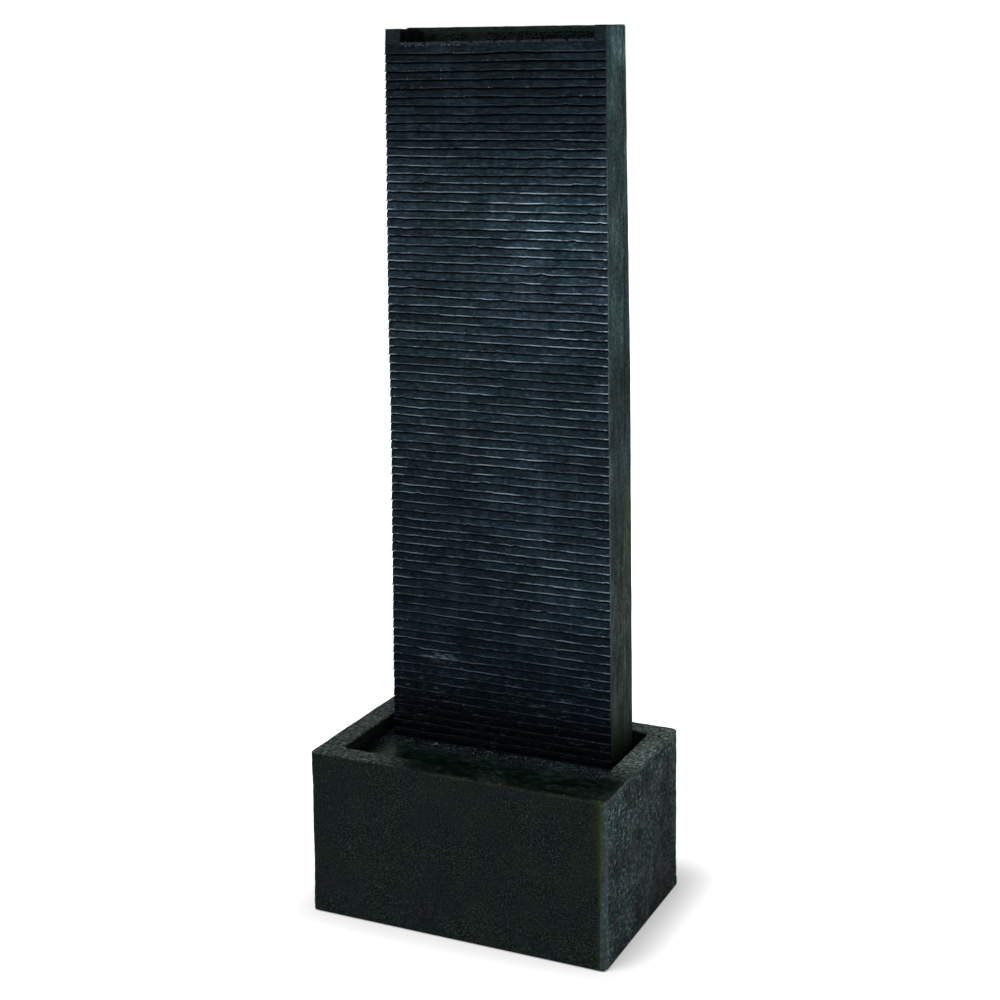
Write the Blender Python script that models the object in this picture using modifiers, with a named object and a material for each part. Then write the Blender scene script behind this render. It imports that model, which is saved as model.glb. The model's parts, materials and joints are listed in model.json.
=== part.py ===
"""Waterfall garden fountain: a hollow slate-look tower standing in an open stone basin.

Water is pumped from the basin up a hose to a tray in the top of the tower, spills over the
front lip and runs down the ridged face. Metres, +Z up, +X to the right of someone who faces
the falls, +Y to the back. The origin is on the ground, at the centre of the basin's footprint.
"""

import math
import random

import bmesh
import bpy
from mathutils import Matrix, Vector

# Gap that touching pieces keep
SEAT = 0.0003

# How far a cutter runs past what it cuts, and how far joined shapes run into each other
CUT_PAST = 0.010
SMALL_CUT_PAST = 0.002
JOIN_OVERLAP = 0.001

# Basin
BASIN_WIDTH = 0.420
BASIN_DEPTH = 0.274
BASIN_TOP = 0.230
BASIN_WALL = 0.030
BASIN_FLOOR = 0.028
BASIN_CORNER_RADIUS = 0.008
BASIN_INNER_RADIUS = 0.010
BASIN_EDGE_RADIUS = 0.0025

# Rubber pads under the basin
PAD_RADIUS = 0.014
PAD_PROUD = 0.003
PAD_RECESS = 0.0023
PAD_INSET = 0.034
PAD_CHAMFER = 0.001

# Drain in the back wall of the basin
DRAIN_FROM_LEFT = 0.070
DRAIN_ABOVE_FLOOR = 0.019
DRAIN_OUTER_RADIUS = 0.0125
DRAIN_INNER_RADIUS = 0.0110
DRAIN_RECESS_RADIUS = 0.018
DRAIN_RECESS_DEPTH = 0.010
PLUG_FLANGE_RADIUS = 0.016
PLUG_FLANGE_THICKNESS = 0.003
PLUG_TAB_WIDTH = 0.018
PLUG_TAB_THICKNESS = 0.004

# Tower
TOWER_TOP = 1.172
TOWER_DEPTH = 0.0668
TOWER_CENTRE_Y = 0.0414
TOWER_TOP_HALF_WIDTH = 0.1520
TOWER_WATERLINE_HALF_WIDTH = 0.1627
WATERLINE = 0.208
TOWER_SIDE_WALL = 0.010
TOWER_FRONT_WALL = 0.009
REAR_PANEL_THICKNESS = 0.007
REAR_RIM_THICKNESS = 0.0030
REAR_RIM_AT_TOP = 0.0043
REAR_RIM_BELOW = 0.0160
REAR_RIM_FULL_HEIGHT = 0.720
TOWER_EDGE_RADIUS = 0.0015

# Slate courses of the falls
COURSE_PITCH_TOP = 0.0111
COURSE_PITCH_FOOT = 0.0126
COURSE_VARIATION = 0.0008
COURSE_PROUD = 0.0030
COURSE_UNDERCUT = 0.0009
COURSE_SEED = 7

# Spill at the top of the tower
LEFT_EAR_WIDTH = 0.0206
RIGHT_EAR_WIDTH = 0.0141
SPILL_BELOW_TOP = 0.016
TRAY_DEPTH = 0.078
TRAY_WALL = 0.003
TRAY_RIM_BELOW_TOP = 0.002
TRAY_LEDGE = 0.008
LIP_THICKNESS = 0.0032
LIP_SET_BACK = 0.0005
WEIR_NOTCH_WIDTH = 0.004
WEIR_NOTCH_DEPTH = 0.0024
WEIR_NOTCH_SPACING = 0.033

# Water intakes at the foot of the tower
INTAKE_WIDTH = 0.020
INTAKE_HEIGHT = 0.020
INTAKE_FROM_FRONT = 0.016

# Access door in the rear panel
DOOR_WIDTH = 0.162
DOOR_HEIGHT = 0.182
DOOR_BOTTOM = 0.246
DOOR_THICKNESS = 0.0037
DOOR_CLEARANCE = 0.0008
DOOR_LIP = 0.006
DOOR_REBATE_DEPTH = 0.0040
DOOR_EDGE_RADIUS = 0.0006

# Hinges of the access door
HINGE_HEIGHT = 0.036
HINGE_FROM_DOOR_END = 0.034
HINGE_LEAF_WIDTH = 0.015
HINGE_LEAF_THICKNESS = 0.0012
HINGE_KNUCKLE_RADIUS = 0.0026
HINGE_PIN_RADIUS = 0.0012
HINGE_PIN_HEAD_RADIUS = 0.0021
HINGE_PIN_HEAD_HEIGHT = 0.001
HINGE_CLEARANCE = 0.0004

# Knob and magnetic catch of the access door
KNOB_RADIUS = 0.010
KNOB_NECK_RADIUS = 0.005
KNOB_HEIGHT = 0.016
KNOB_FROM_EDGE = 0.020
KNOB_SCREW_RADIUS = 0.0016
KNOB_SCREW_DEPTH = 0.008
KNOB_SCREW_HEAD_HEIGHT = 0.0018
CATCH_HEIGHT = 0.024
CATCH_WIDTH = 0.026
CATCH_THICKNESS = 0.008
CATCH_EDGE_RADIUS = 0.0008
KEEPER_WIDTH = 0.010

# Screws
SCREW_RADIUS = 0.0017
SCREW_HOLE_RADIUS = 0.0020
SCREW_HEAD_RADIUS = 0.0036
SCREW_LENGTH = 0.020
SCREW_SLOT_WIDTH = 0.0008
SCREW_SLOT_DEPTH = 0.0010
SCREW_POINT = 0.0020
SCREW_TIP_ROOM = 0.0010
PANEL_SCREW_FROM_FOOT = 0.060
PANEL_SCREW_FROM_TOP = 0.140
BRACKET_SCREW_RADIUS = 0.0020
BRACKET_SCREW_HEAD_RADIUS = 0.0040
BRACKET_SCREW_HEAD_HEIGHT = 0.0025
BRACKET_FLOOR_SCREW_LENGTH = 0.014
BRACKET_WALL_SCREW_LENGTH = 0.0065

# Angle brackets that fix the tower to the basin floor
BRACKET_THICKNESS = 0.002
BRACKET_LEG = 0.030
BRACKET_WIDTH = 0.020
BRACKET_SCREW_UP_LEG = 0.021
BRACKET_FROM_PANEL = 0.002

# Cord grommet in the rear panel
GROMMET_X = 0.115
GROMMET_Z = 0.275
GROMMET_HOLE_RADIUS = 0.0080
GROMMET_FLANGE_RADIUS = 0.0115
GROMMET_FLANGE_THICKNESS = 0.002
GROMMET_BORE_RADIUS = 0.0045

# Pump
PUMP_SHAFT_X = 0.0100
MOTOR_LENGTH = 0.055
MOTOR_WIDTH = 0.044
MOTOR_HEIGHT = 0.042
VOLUTE_LENGTH = 0.0197
VOLUTE_WIDTH = 0.042
VOLUTE_HEIGHT = 0.040
VOLUTE_FRONT_WALL = 0.0038
CHAMBER_RADIUS = 0.0145
EYE_RADIUS = 0.0075
EYE_SPOKE_WIDTH = 0.0022
EYE_HUB_WALL = 0.0018
ROTOR_WELL_RADIUS = 0.0092
ROTOR_WELL_DEPTH = 0.032
MAGNET_RADIUS = 0.0082
MAGNET_LENGTH = 0.026
ROTOR_STEM_RADIUS = 0.0050
IMPELLER_RADIUS = 0.0130
IMPELLER_DISC = 0.002
IMPELLER_VANE_HEIGHT = 0.007
IMPELLER_VANE_THICKNESS = 0.0012
IMPELLER_VANES = 6
ROTOR_END_PLAY = 0.001
SHAFT_RADIUS = 0.0012
BUSH_RADIUS = 0.0028
BUSH_LENGTH = 0.0034
SHAFT_CLEARANCE = 0.0003
O_RING_RADIUS = 0.0175
O_RING_SECTION = 0.0009
O_RING_GROOVE_DEPTH = 0.0022
O_RING_GROOVE_HALF_WIDTH = 0.0013
STRAINER_WALL = 0.0016
STRAINER_REACH = 0.0150
STRAINER_SLOT = 0.0018
STRAINER_SLOTS = 6
DIAL_RADIUS = 0.008
DIAL_THICKNESS = 0.0042
DIAL_GRIP_HALF_WIDTH = 0.0012
DIAL_GRIP_HEIGHT = 0.003
DIAL_STEM_RADIUS = 0.0028
SHUTTER_RADIUS = 0.0088
SHUTTER_THICKNESS = 0.0012
SUCTION_FOOT_RADIUS = 0.0065
SUCTION_FOOT_HEIGHT = 0.0055
SUCTION_STUD_RADIUS = 0.0020
SUCTION_STUD_LENGTH = 0.0045
CORD_GLAND_RADIUS = 0.0055
CORD_GLAND_LENGTH = 0.012
CORD_GLAND_INSIDE = 0.0035
CORD_GLAND_SEAT_DEPTH = 0.004
CORD_RADIUS = 0.0030
PUMP_EDGE_RADIUS = 0.0025

# Supply hose, its barbs and its clamps
HOSE_BORE_RADIUS = 0.0060
HOSE_WALL = 0.0020
HOSE_BOW = 0.020
HOSE_POINTS = 26
HOSE_BEVEL_RESOLUTION = 3
BARB_LENGTH = 0.020
BARB_BORE_RADIUS = 0.0042
NOZZLE_COLLAR = 0.006
CLAMP_BAND = 0.0007
CLAMP_WIDTH = 0.009
CLAMP_HOUSING = (0.012, 0.0075, 0.009)
CLAMP_SCREW_RADIUS = 0.0021
CLAMP_SCREW_HEAD_RADIUS = 0.0034
CLAMP_SCREW_LENGTH = 0.016
CLAMP_SCREW_HEAD_HEIGHT = 0.003
TAIL_FLANGE_RADIUS = 0.0120
TAIL_FLANGE_THICKNESS = 0.003
TAIL_SHANK_RADIUS = 0.0080
TAIL_SHANK_LENGTH = 0.014
TAIL_NUT_RADIUS = 0.0130
TAIL_NUT_HEIGHT = 0.007
TAIL_GASKET_THICKNESS = 0.0015
TAIL_X = 0.0

# Places that follow from the sizes
BASIN_BOTTOM = PAD_PROUD
FLOOR_TOP = BASIN_BOTTOM + BASIN_FLOOR
BASIN_BACK = BASIN_DEPTH / 2
BASIN_INNER_HALF_WIDTH = BASIN_WIDTH / 2 - BASIN_WALL
BASIN_INNER_HALF_DEPTH = BASIN_DEPTH / 2 - BASIN_WALL
DRAIN_X = -BASIN_WIDTH / 2 + DRAIN_FROM_LEFT
DRAIN_Z = FLOOR_TOP + DRAIN_ABOVE_FLOOR
TOWER_FOOT = FLOOR_TOP + SEAT
TOWER_BACK = TOWER_CENTRE_Y + TOWER_DEPTH / 2
TOWER_CREST = TOWER_CENTRE_Y - TOWER_DEPTH / 2
TOWER_VALLEY = TOWER_CREST + COURSE_PROUD
PANEL_FRONT = TOWER_BACK - REAR_PANEL_THICKNESS
PANEL_SCREW_FROM_EDGE = REAR_RIM_THICKNESS + SCREW_HEAD_RADIUS + 2 * SEAT
SHELL_BACK = PANEL_FRONT - SEAT
HOLLOW_FRONT = TOWER_VALLEY + TOWER_FRONT_WALL
SPILL_LEVEL = TOWER_TOP - SPILL_BELOW_TOP
LIP_SEAT = SPILL_LEVEL - LIP_THICKNESS - SEAT
TRAY_BOTTOM = SPILL_LEVEL - TRAY_DEPTH
LEDGE_TOP = TRAY_BOTTOM - SEAT
LEDGE_BOTTOM = LEDGE_TOP - TRAY_LEDGE
SPILL_LEFT = -TOWER_TOP_HALF_WIDTH + LEFT_EAR_WIDTH
SPILL_RIGHT = TOWER_TOP_HALF_WIDTH - RIGHT_EAR_WIDTH
DOOR_LEFT = -DOOR_WIDTH / 2
DOOR_RIGHT = DOOR_WIDTH / 2
DOOR_TOP = DOOR_BOTTOM + DOOR_HEIGHT
DOOR_FRONT = TOWER_BACK - DOOR_THICKNESS
HINGE_X = DOOR_LEFT - DOOR_CLEARANCE / 2
HINGE_Y = TOWER_BACK + SEAT + HINGE_KNUCKLE_RADIUS
PUMP_Y = (HOLLOW_FRONT + PANEL_FRONT) / 2
MOTOR_BOTTOM = FLOOR_TOP + SEAT + SUCTION_FOOT_HEIGHT + SEAT
PUMP_Z = MOTOR_BOTTOM + MOTOR_HEIGHT / 2
VOLUTE_X = PUMP_SHAFT_X + SEAT
VOLUTE_END = VOLUTE_X + VOLUTE_LENGTH
NOZZLE_X = VOLUTE_X + (VOLUTE_LENGTH - VOLUTE_FRONT_WALL) / 2
NOZZLE_SHOULDER = PUMP_Z + VOLUTE_HEIGHT / 2 + NOZZLE_COLLAR
HOSE_RADIUS = HOSE_BORE_RADIUS + HOSE_WALL
HOSE_SIDES = 4 + 2 * HOSE_BEVEL_RESOLUTION
BARB_RADIUS = HOSE_RADIUS * math.cos(math.pi / HOSE_SIDES) - HOSE_WALL - SEAT
STRAINER_START = NOZZLE_X + HOSE_RADIUS + 2 * SEAT
TRAY_FLOOR_TOP = TRAY_BOTTOM + TRAY_WALL
TAIL_Y = (HOLLOW_FRONT + PANEL_FRONT) / 2
TAIL_FLANGE_BOTTOM = TRAY_FLOOR_TOP + SEAT + TAIL_GASKET_THICKNESS + SEAT
TAIL_SHANK_BOTTOM = TAIL_FLANGE_BOTTOM - TAIL_SHANK_LENGTH
HOSE_BOTTOM = NOZZLE_SHOULDER + SEAT
HOSE_TOP = TAIL_SHANK_BOTTOM - SEAT

MATERIALS = {
    "speckled_stone": ((0.030, 0.036, 0.034), 0.45, 0.0),
    "wet_slate": ((0.018, 0.024, 0.034), 0.25, 0.0),
    "mossy_slate": ((0.035, 0.060, 0.058), 0.40, 0.0),
    "tray_resin": ((0.020, 0.030, 0.022), 0.35, 0.0),
    "black_plastic": ((0.015, 0.015, 0.016), 0.40, 0.0),
    "grey_plastic": ((0.10, 0.11, 0.12), 0.40, 0.0),
    "black_rubber": ((0.020, 0.020, 0.020), 0.75, 0.0),
    "clear_hose": ((0.55, 0.60, 0.58), 0.25, 0.0),
    "stainless_steel": ((0.55, 0.55, 0.54), 0.30, 1.0),
    "white_ceramic": ((0.80, 0.79, 0.76), 0.25, 0.0),
    "dark_magnet": ((0.060, 0.058, 0.056), 0.50, 0.6),
}


def clear_scene():
    for item in list(bpy.data.objects):
        bpy.data.objects.remove(item, do_unlink=True)


def make_materials():
    for name, (colour, roughness, metallic) in MATERIALS.items():
        material = bpy.data.materials.new(name)
        material.use_nodes = True
        shader = material.node_tree.nodes["Principled BSDF"]
        shader.inputs["Base Color"].default_value = (*colour, 1.0)
        shader.inputs["Roughness"].default_value = roughness
        shader.inputs["Metallic"].default_value = metallic


def make_collection(name):
    collection = bpy.data.collections.new(name)
    bpy.context.scene.collection.children.link(collection)
    return collection


def move_into(collection, piece):
    for old in list(piece.users_collection):
        old.objects.unlink(piece)
    collection.objects.link(piece)


def finish(piece, material):
    """Gives a finished part its material and its place in the fountain's collection."""
    piece.data.materials.clear()
    piece.data.materials.append(bpy.data.materials[material])
    move_into(PARTS, piece)
    return piece


def block(name, low, high):
    """A box between two corners."""
    low = Vector(low)
    high = Vector(high)
    bpy.ops.mesh.primitive_cube_add(size=1, location=(low + high) / 2)
    piece = bpy.context.object
    piece.name = name
    piece.scale = high - low
    bpy.ops.object.transform_apply(location=False, rotation=False, scale=True)
    return piece


def rod(name, start, end, radius, end_radius=None, sides=24):
    """A round bar between two points, tapered where end_radius is given."""
    start = Vector(start)
    end = Vector(end)
    bpy.ops.mesh.primitive_cone_add(
        vertices=sides,
        radius1=radius,
        radius2=radius if end_radius is None else end_radius,
        depth=(end - start).length,
        location=(start + end) / 2,
        rotation=(end - start).to_track_quat("Z", "Y").to_euler(),
    )
    piece = bpy.context.object
    piece.name = name
    return piece


def turned(name, profile, base, axis, steps=24, ring=False):
    """A turned solid: profile holds (radius, height above base) down its outer side."""
    mesh = bpy.data.meshes.new(name)
    points = [(radius, 0.0, height) for radius, height in profile]
    edges = [(i, i + 1) for i in range(len(points) - 1)]
    if ring:
        edges.append((len(points) - 1, 0))
    mesh.from_pydata(points, edges, [])
    piece = bpy.data.objects.new(name, mesh)
    bpy.context.scene.collection.objects.link(piece)
    piece.location = base
    piece.rotation_euler = Vector(axis).to_track_quat("Z", "Y").to_euler()
    screw = piece.modifiers.new("turn", "SCREW")
    screw.steps = steps
    screw.render_steps = steps
    screw.use_merge_vertices = True
    screw.merge_threshold = 0.00001
    screw.use_smooth_shade = True
    return piece


def meshed(curve_piece):
    """A curve object's solid as a mesh object of the same name, with its loose caps welded."""
    bpy.context.view_layer.update()
    graph = bpy.context.evaluated_depsgraph_get()
    mesh = bpy.data.meshes.new_from_object(curve_piece.evaluated_get(graph))
    shape = bmesh.new()
    shape.from_mesh(mesh)
    bmesh.ops.remove_doubles(shape, verts=shape.verts, dist=0.000005)
    shape.to_mesh(mesh)
    shape.free()
    name = curve_piece.name
    place = curve_piece.matrix_world.copy()
    bpy.data.objects.remove(curve_piece, do_unlink=True)
    piece = bpy.data.objects.new(name, mesh)
    bpy.context.scene.collection.objects.link(piece)
    piece.matrix_world = place
    return piece


def add_spline(curve, points, closed):
    spline = curve.splines.new("POLY")
    spline.points.add(len(points) - 1)
    for target, point in zip(spline.points, points):
        target.co = (*point, 1.0)
    spline.use_cyclic_u = closed


def side_outline(name, points, left, right):
    """A solid with an outline of (y, z) points, extruded from left to right along X."""
    curve = bpy.data.curves.new(name, "CURVE")
    curve.dimensions = "2D"
    curve.fill_mode = "BOTH"
    curve.extrude = (right - left) / 2
    add_spline(curve, [(y, z, 0.0) for y, z in points], closed=True)
    piece = bpy.data.objects.new(name, curve)
    bpy.context.scene.collection.objects.link(piece)
    turn = Matrix(((0, 0, 1), (1, 0, 0), (0, 1, 0))).to_4x4()
    piece.matrix_world = Matrix.Translation(((left + right) / 2, 0, 0)) @ turn
    return meshed(piece)


def many_blocks(name, boxes):
    """Several boxes in one cutter."""
    mesh = bpy.data.meshes.new(name)
    shape = bmesh.new()
    for low, high in boxes:
        size = Vector(high) - Vector(low)
        middle = (Vector(high) + Vector(low)) / 2
        place = Matrix.Translation(middle) @ Matrix.Diagonal((*size, 1.0))
        bmesh.ops.create_cube(shape, size=1.0, matrix=place)
    shape.to_mesh(mesh)
    shape.free()
    piece = bpy.data.objects.new(name, mesh)
    bpy.context.scene.collection.objects.link(piece)
    return piece


def combine(piece, others, operation):
    for other in others:
        boolean = piece.modifiers.new(other.name, "BOOLEAN")
        boolean.operation = operation
        boolean.solver = "EXACT"
        boolean.object = other
        other.hide_render = True
        other.display_type = "WIRE"
        move_into(CUTTERS, other)


def cut(piece, *cutters):
    combine(piece, cutters, "DIFFERENCE")


def join(piece, *others):
    combine(piece, others, "UNION")


def round_edges(piece, width, segments=2, angle=50):
    bevel = piece.modifiers.new("rounded edges", "BEVEL")
    bevel.width = width
    bevel.segments = segments
    bevel.limit_method = "ANGLE"
    bevel.angle_limit = math.radians(angle)


def round_uprights(piece, radius, segments=4):
    """Rounds only the upright edges of a box."""
    weights = piece.data.attributes.new("bevel_weight_edge", "FLOAT", "EDGE")
    for edge in piece.data.edges:
        ends = [piece.data.vertices[i].co for i in edge.vertices]
        along = (ends[1] - ends[0]).normalized()
        weights.data[edge.index].value = 1.0 if abs(along.z) > 0.9 else 0.0
    bevel = piece.modifiers.new("rounded uprights", "BEVEL")
    bevel.width = radius
    bevel.segments = segments
    bevel.limit_method = "WEIGHT"


def hang(name, place, pieces):
    """An empty on a joint's axis, which carries the pieces that move with it."""
    pivot = bpy.data.objects.new(name, None)
    PARTS.objects.link(pivot)
    pivot.location = place
    bpy.context.view_layer.update()
    for piece in pieces:
        piece.parent = pivot
        piece.matrix_parent_inverse = pivot.matrix_world.inverted()


def tower_half_width(z):
    """The tower narrows a little from the waterline to its top."""
    share = (z - WATERLINE) / (TOWER_TOP - WATERLINE)
    narrowing = TOWER_WATERLINE_HALF_WIDTH - TOWER_TOP_HALF_WIDTH
    return TOWER_WATERLINE_HALF_WIDTH - narrowing * share


def draft(piece, inset):
    """Sets each side of a piece this far inside the tower's tapered sides."""
    place = piece.matrix_world.copy()
    back = place.inverted()
    for vertex in piece.data.vertices:
        point = place @ vertex.co
        side = math.copysign(1.0, point.x)
        point.x = side * (tower_half_width(point.z) - inset)
        vertex.co = back @ point


def course_lips():
    """Heights of the proud lower edges of the slate courses, from the spill down."""
    chance = random.Random(COURSE_SEED)
    lips = []
    height = LIP_SEAT
    while True:
        share = (SPILL_LEVEL - height) / (SPILL_LEVEL - TOWER_FOOT)
        pitch = COURSE_PITCH_TOP + (COURSE_PITCH_FOOT - COURSE_PITCH_TOP) * share
        height -= pitch + chance.uniform(-COURSE_VARIATION, COURSE_VARIATION)
        if height < TOWER_FOOT + COURSE_PITCH_FOOT:
            return lips
        lips.append(height)


def make_basin():
    half_width = BASIN_WIDTH / 2
    half_depth = BASIN_DEPTH / 2
    basin = block("basin", (-half_width, -half_depth, BASIN_BOTTOM), (half_width, half_depth, BASIN_TOP))
    round_uprights(basin, BASIN_CORNER_RADIUS)
    pool = block(
        "basin_pool_cutter",
        (-BASIN_INNER_HALF_WIDTH, -BASIN_INNER_HALF_DEPTH, FLOOR_TOP),
        (BASIN_INNER_HALF_WIDTH, BASIN_INNER_HALF_DEPTH, BASIN_TOP + BASIN_WALL),
    )
    round_uprights(pool, BASIN_INNER_RADIUS)
    cut(basin, pool)
    round_edges(basin, BASIN_EDGE_RADIUS)
    inner_face = BASIN_BACK - BASIN_WALL
    recess_floor = BASIN_BACK - DRAIN_RECESS_DEPTH
    slope = (DRAIN_OUTER_RADIUS - DRAIN_INNER_RADIUS) / (recess_floor - inner_face)
    cut(
        basin,
        rod(
            "drain_hole_cutter",
            (DRAIN_X, inner_face - SMALL_CUT_PAST, DRAIN_Z),
            (DRAIN_X, recess_floor + SMALL_CUT_PAST, DRAIN_Z),
            DRAIN_INNER_RADIUS - slope * SMALL_CUT_PAST,
            DRAIN_OUTER_RADIUS + slope * SMALL_CUT_PAST,
        ),
        rod(
            "drain_recess_cutter",
            (DRAIN_X, recess_floor, DRAIN_Z),
            (DRAIN_X, BASIN_BACK + SMALL_CUT_PAST, DRAIN_Z),
            DRAIN_RECESS_RADIUS,
            sides=32,
        ),
    )
    for side, x in pad_columns():
        for end, y in pad_rows():
            recess = rod(
                f"pad_recess_cutter_{end}_{side}",
                (x, y, BASIN_BOTTOM - SMALL_CUT_PAST),
                (x, y, BASIN_BOTTOM + PAD_RECESS),
                PAD_RADIUS + SEAT,
            )
            cut(basin, recess)
    for side, x, y in floor_screw_places():
        hole = rod(
            f"floor_screw_cutter_{side}",
            (x, y, FLOOR_TOP + SMALL_CUT_PAST),
            (x, y, FLOOR_TOP - BRACKET_FLOOR_SCREW_LENGTH),
            BRACKET_SCREW_RADIUS + SEAT,
            sides=12,
        )
        cut(basin, hole)
    finish(basin, "speckled_stone")


def pad_columns():
    reach = BASIN_WIDTH / 2 - PAD_INSET
    return (("left", -reach), ("right", reach))


def pad_rows():
    reach = BASIN_DEPTH / 2 - PAD_INSET
    return (("front", -reach), ("rear", reach))


def make_foot_pads():
    for side, x in pad_columns():
        for end, y in pad_rows():
            top = BASIN_BOTTOM + PAD_RECESS - SEAT
            profile = (
                (0.0, top),
                (PAD_RADIUS, top),
                (PAD_RADIUS, PAD_CHAMFER),
                (PAD_RADIUS - PAD_CHAMFER, 0.0),
                (0.0, 0.0),
            )
            pad = turned(f"foot_pad_{end}_{side}", profile, (x, y, 0.0), (0, 0, 1))
            finish(pad, "black_rubber")


def make_drain_plug():
    inner_face = BASIN_BACK - BASIN_WALL
    recess_floor = BASIN_BACK - DRAIN_RECESS_DEPTH
    stopper = rod(
        "drain_plug",
        (DRAIN_X, inner_face, DRAIN_Z),
        (DRAIN_X, recess_floor + PLUG_FLANGE_THICKNESS / 2, DRAIN_Z),
        DRAIN_INNER_RADIUS - SEAT,
        DRAIN_OUTER_RADIUS - SEAT,
    )
    flange_face = recess_floor + SEAT + PLUG_FLANGE_THICKNESS
    flange = rod(
        "plug_flange_joined",
        (DRAIN_X, recess_floor + SEAT, DRAIN_Z),
        (DRAIN_X, flange_face, DRAIN_Z),
        PLUG_FLANGE_RADIUS,
        sides=32,
    )
    tab = block(
        "plug_tab_joined",
        (DRAIN_X - PLUG_TAB_WIDTH / 2, flange_face - JOIN_OVERLAP, DRAIN_Z - PLUG_TAB_THICKNESS / 2),
        (DRAIN_X + PLUG_TAB_WIDTH / 2, BASIN_BACK - SEAT, DRAIN_Z + PLUG_TAB_THICKNESS / 2),
    )
    join(stopper, flange, tab)
    finish(stopper, "black_rubber")
    hang("drain_plug_axis", (DRAIN_X, BASIN_BACK, DRAIN_Z), [stopper])


def tower_side_points():
    """The shell's side view: ridged front, flat top, back and foot."""
    points = [(TOWER_VALLEY, TOWER_TOP)]
    for lip in course_lips():
        points.append((TOWER_CREST, lip))
        points.append((TOWER_VALLEY, lip - COURSE_UNDERCUT))
    points.append((TOWER_CREST, TOWER_FOOT))
    points.append((SHELL_BACK, TOWER_FOOT))
    points.append((SHELL_BACK, TOWER_TOP))
    return points


def make_tower_shell():
    shell = side_outline(
        "tower_shell", tower_side_points(), -TOWER_TOP_HALF_WIDTH, TOWER_TOP_HALF_WIDTH
    )
    draft(shell, 0.0)
    wide = TOWER_WATERLINE_HALF_WIDTH
    hollow = block(
        "tower_hollow_cutter",
        (-wide, HOLLOW_FRONT, TOWER_FOOT - CUT_PAST),
        (wide, TOWER_BACK + CUT_PAST, LEDGE_BOTTOM),
    )
    draft(hollow, TOWER_SIDE_WALL)
    throat = block(
        "tower_throat_cutter",
        (SPILL_LEFT + TRAY_LEDGE, HOLLOW_FRONT, LEDGE_BOTTOM - CUT_PAST),
        (SPILL_RIGHT - TRAY_LEDGE, TOWER_BACK + CUT_PAST, LEDGE_TOP + CUT_PAST),
    )
    tray_seat = block(
        "tray_seat_cutter",
        (SPILL_LEFT, HOLLOW_FRONT, LEDGE_TOP),
        (SPILL_RIGHT, TOWER_BACK + CUT_PAST, TOWER_TOP + CUT_PAST),
    )
    spill = block(
        "spill_cutter",
        (SPILL_LEFT, TOWER_CREST - CUT_PAST, LIP_SEAT),
        (SPILL_RIGHT, HOLLOW_FRONT + CUT_PAST, TOWER_TOP + CUT_PAST),
    )
    intake = block(
        "side_intake_cutter",
        (-wide - CUT_PAST, TOWER_CREST + INTAKE_FROM_FRONT, TOWER_FOOT - CUT_PAST),
        (wide + CUT_PAST, TOWER_CREST + INTAKE_FROM_FRONT + INTAKE_WIDTH, TOWER_FOOT + INTAKE_HEIGHT),
    )
    cut(shell, hollow, throat, tray_seat, spill, intake)
    for number, (x, z) in enumerate(panel_screw_places(), start=1):
        hole = rod(
            f"shell_screw_cutter_{number}",
            (x, SHELL_BACK + CUT_PAST, z),
            (x, TOWER_BACK - SCREW_LENGTH - SCREW_TIP_ROOM, z),
            SCREW_HOLE_RADIUS,
            sides=10,
        )
        cut(shell, hole)
    for side, sign, y, z in wall_screw_places():
        face = sign * (tower_half_width(z) - TOWER_SIDE_WALL)
        hole = rod(
            f"wall_screw_cutter_{side}",
            (face - sign * CUT_PAST, y, z),
            (face + sign * BRACKET_WALL_SCREW_LENGTH, y, z),
            BRACKET_SCREW_RADIUS + SEAT,
            sides=12,
        )
        cut(shell, hole)
    finish(shell, "wet_slate")


def panel_screw_places():
    """Three screws up each side of the rear panel."""
    low = TOWER_FOOT + PANEL_SCREW_FROM_FOOT
    high = TOWER_TOP - PANEL_SCREW_FROM_TOP
    places = []
    for sign in (-1, 1):
        for z in (low, (low + high) / 2, high):
            places.append((sign * (tower_half_width(z) - PANEL_SCREW_FROM_EDGE), z))
    return places


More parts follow.
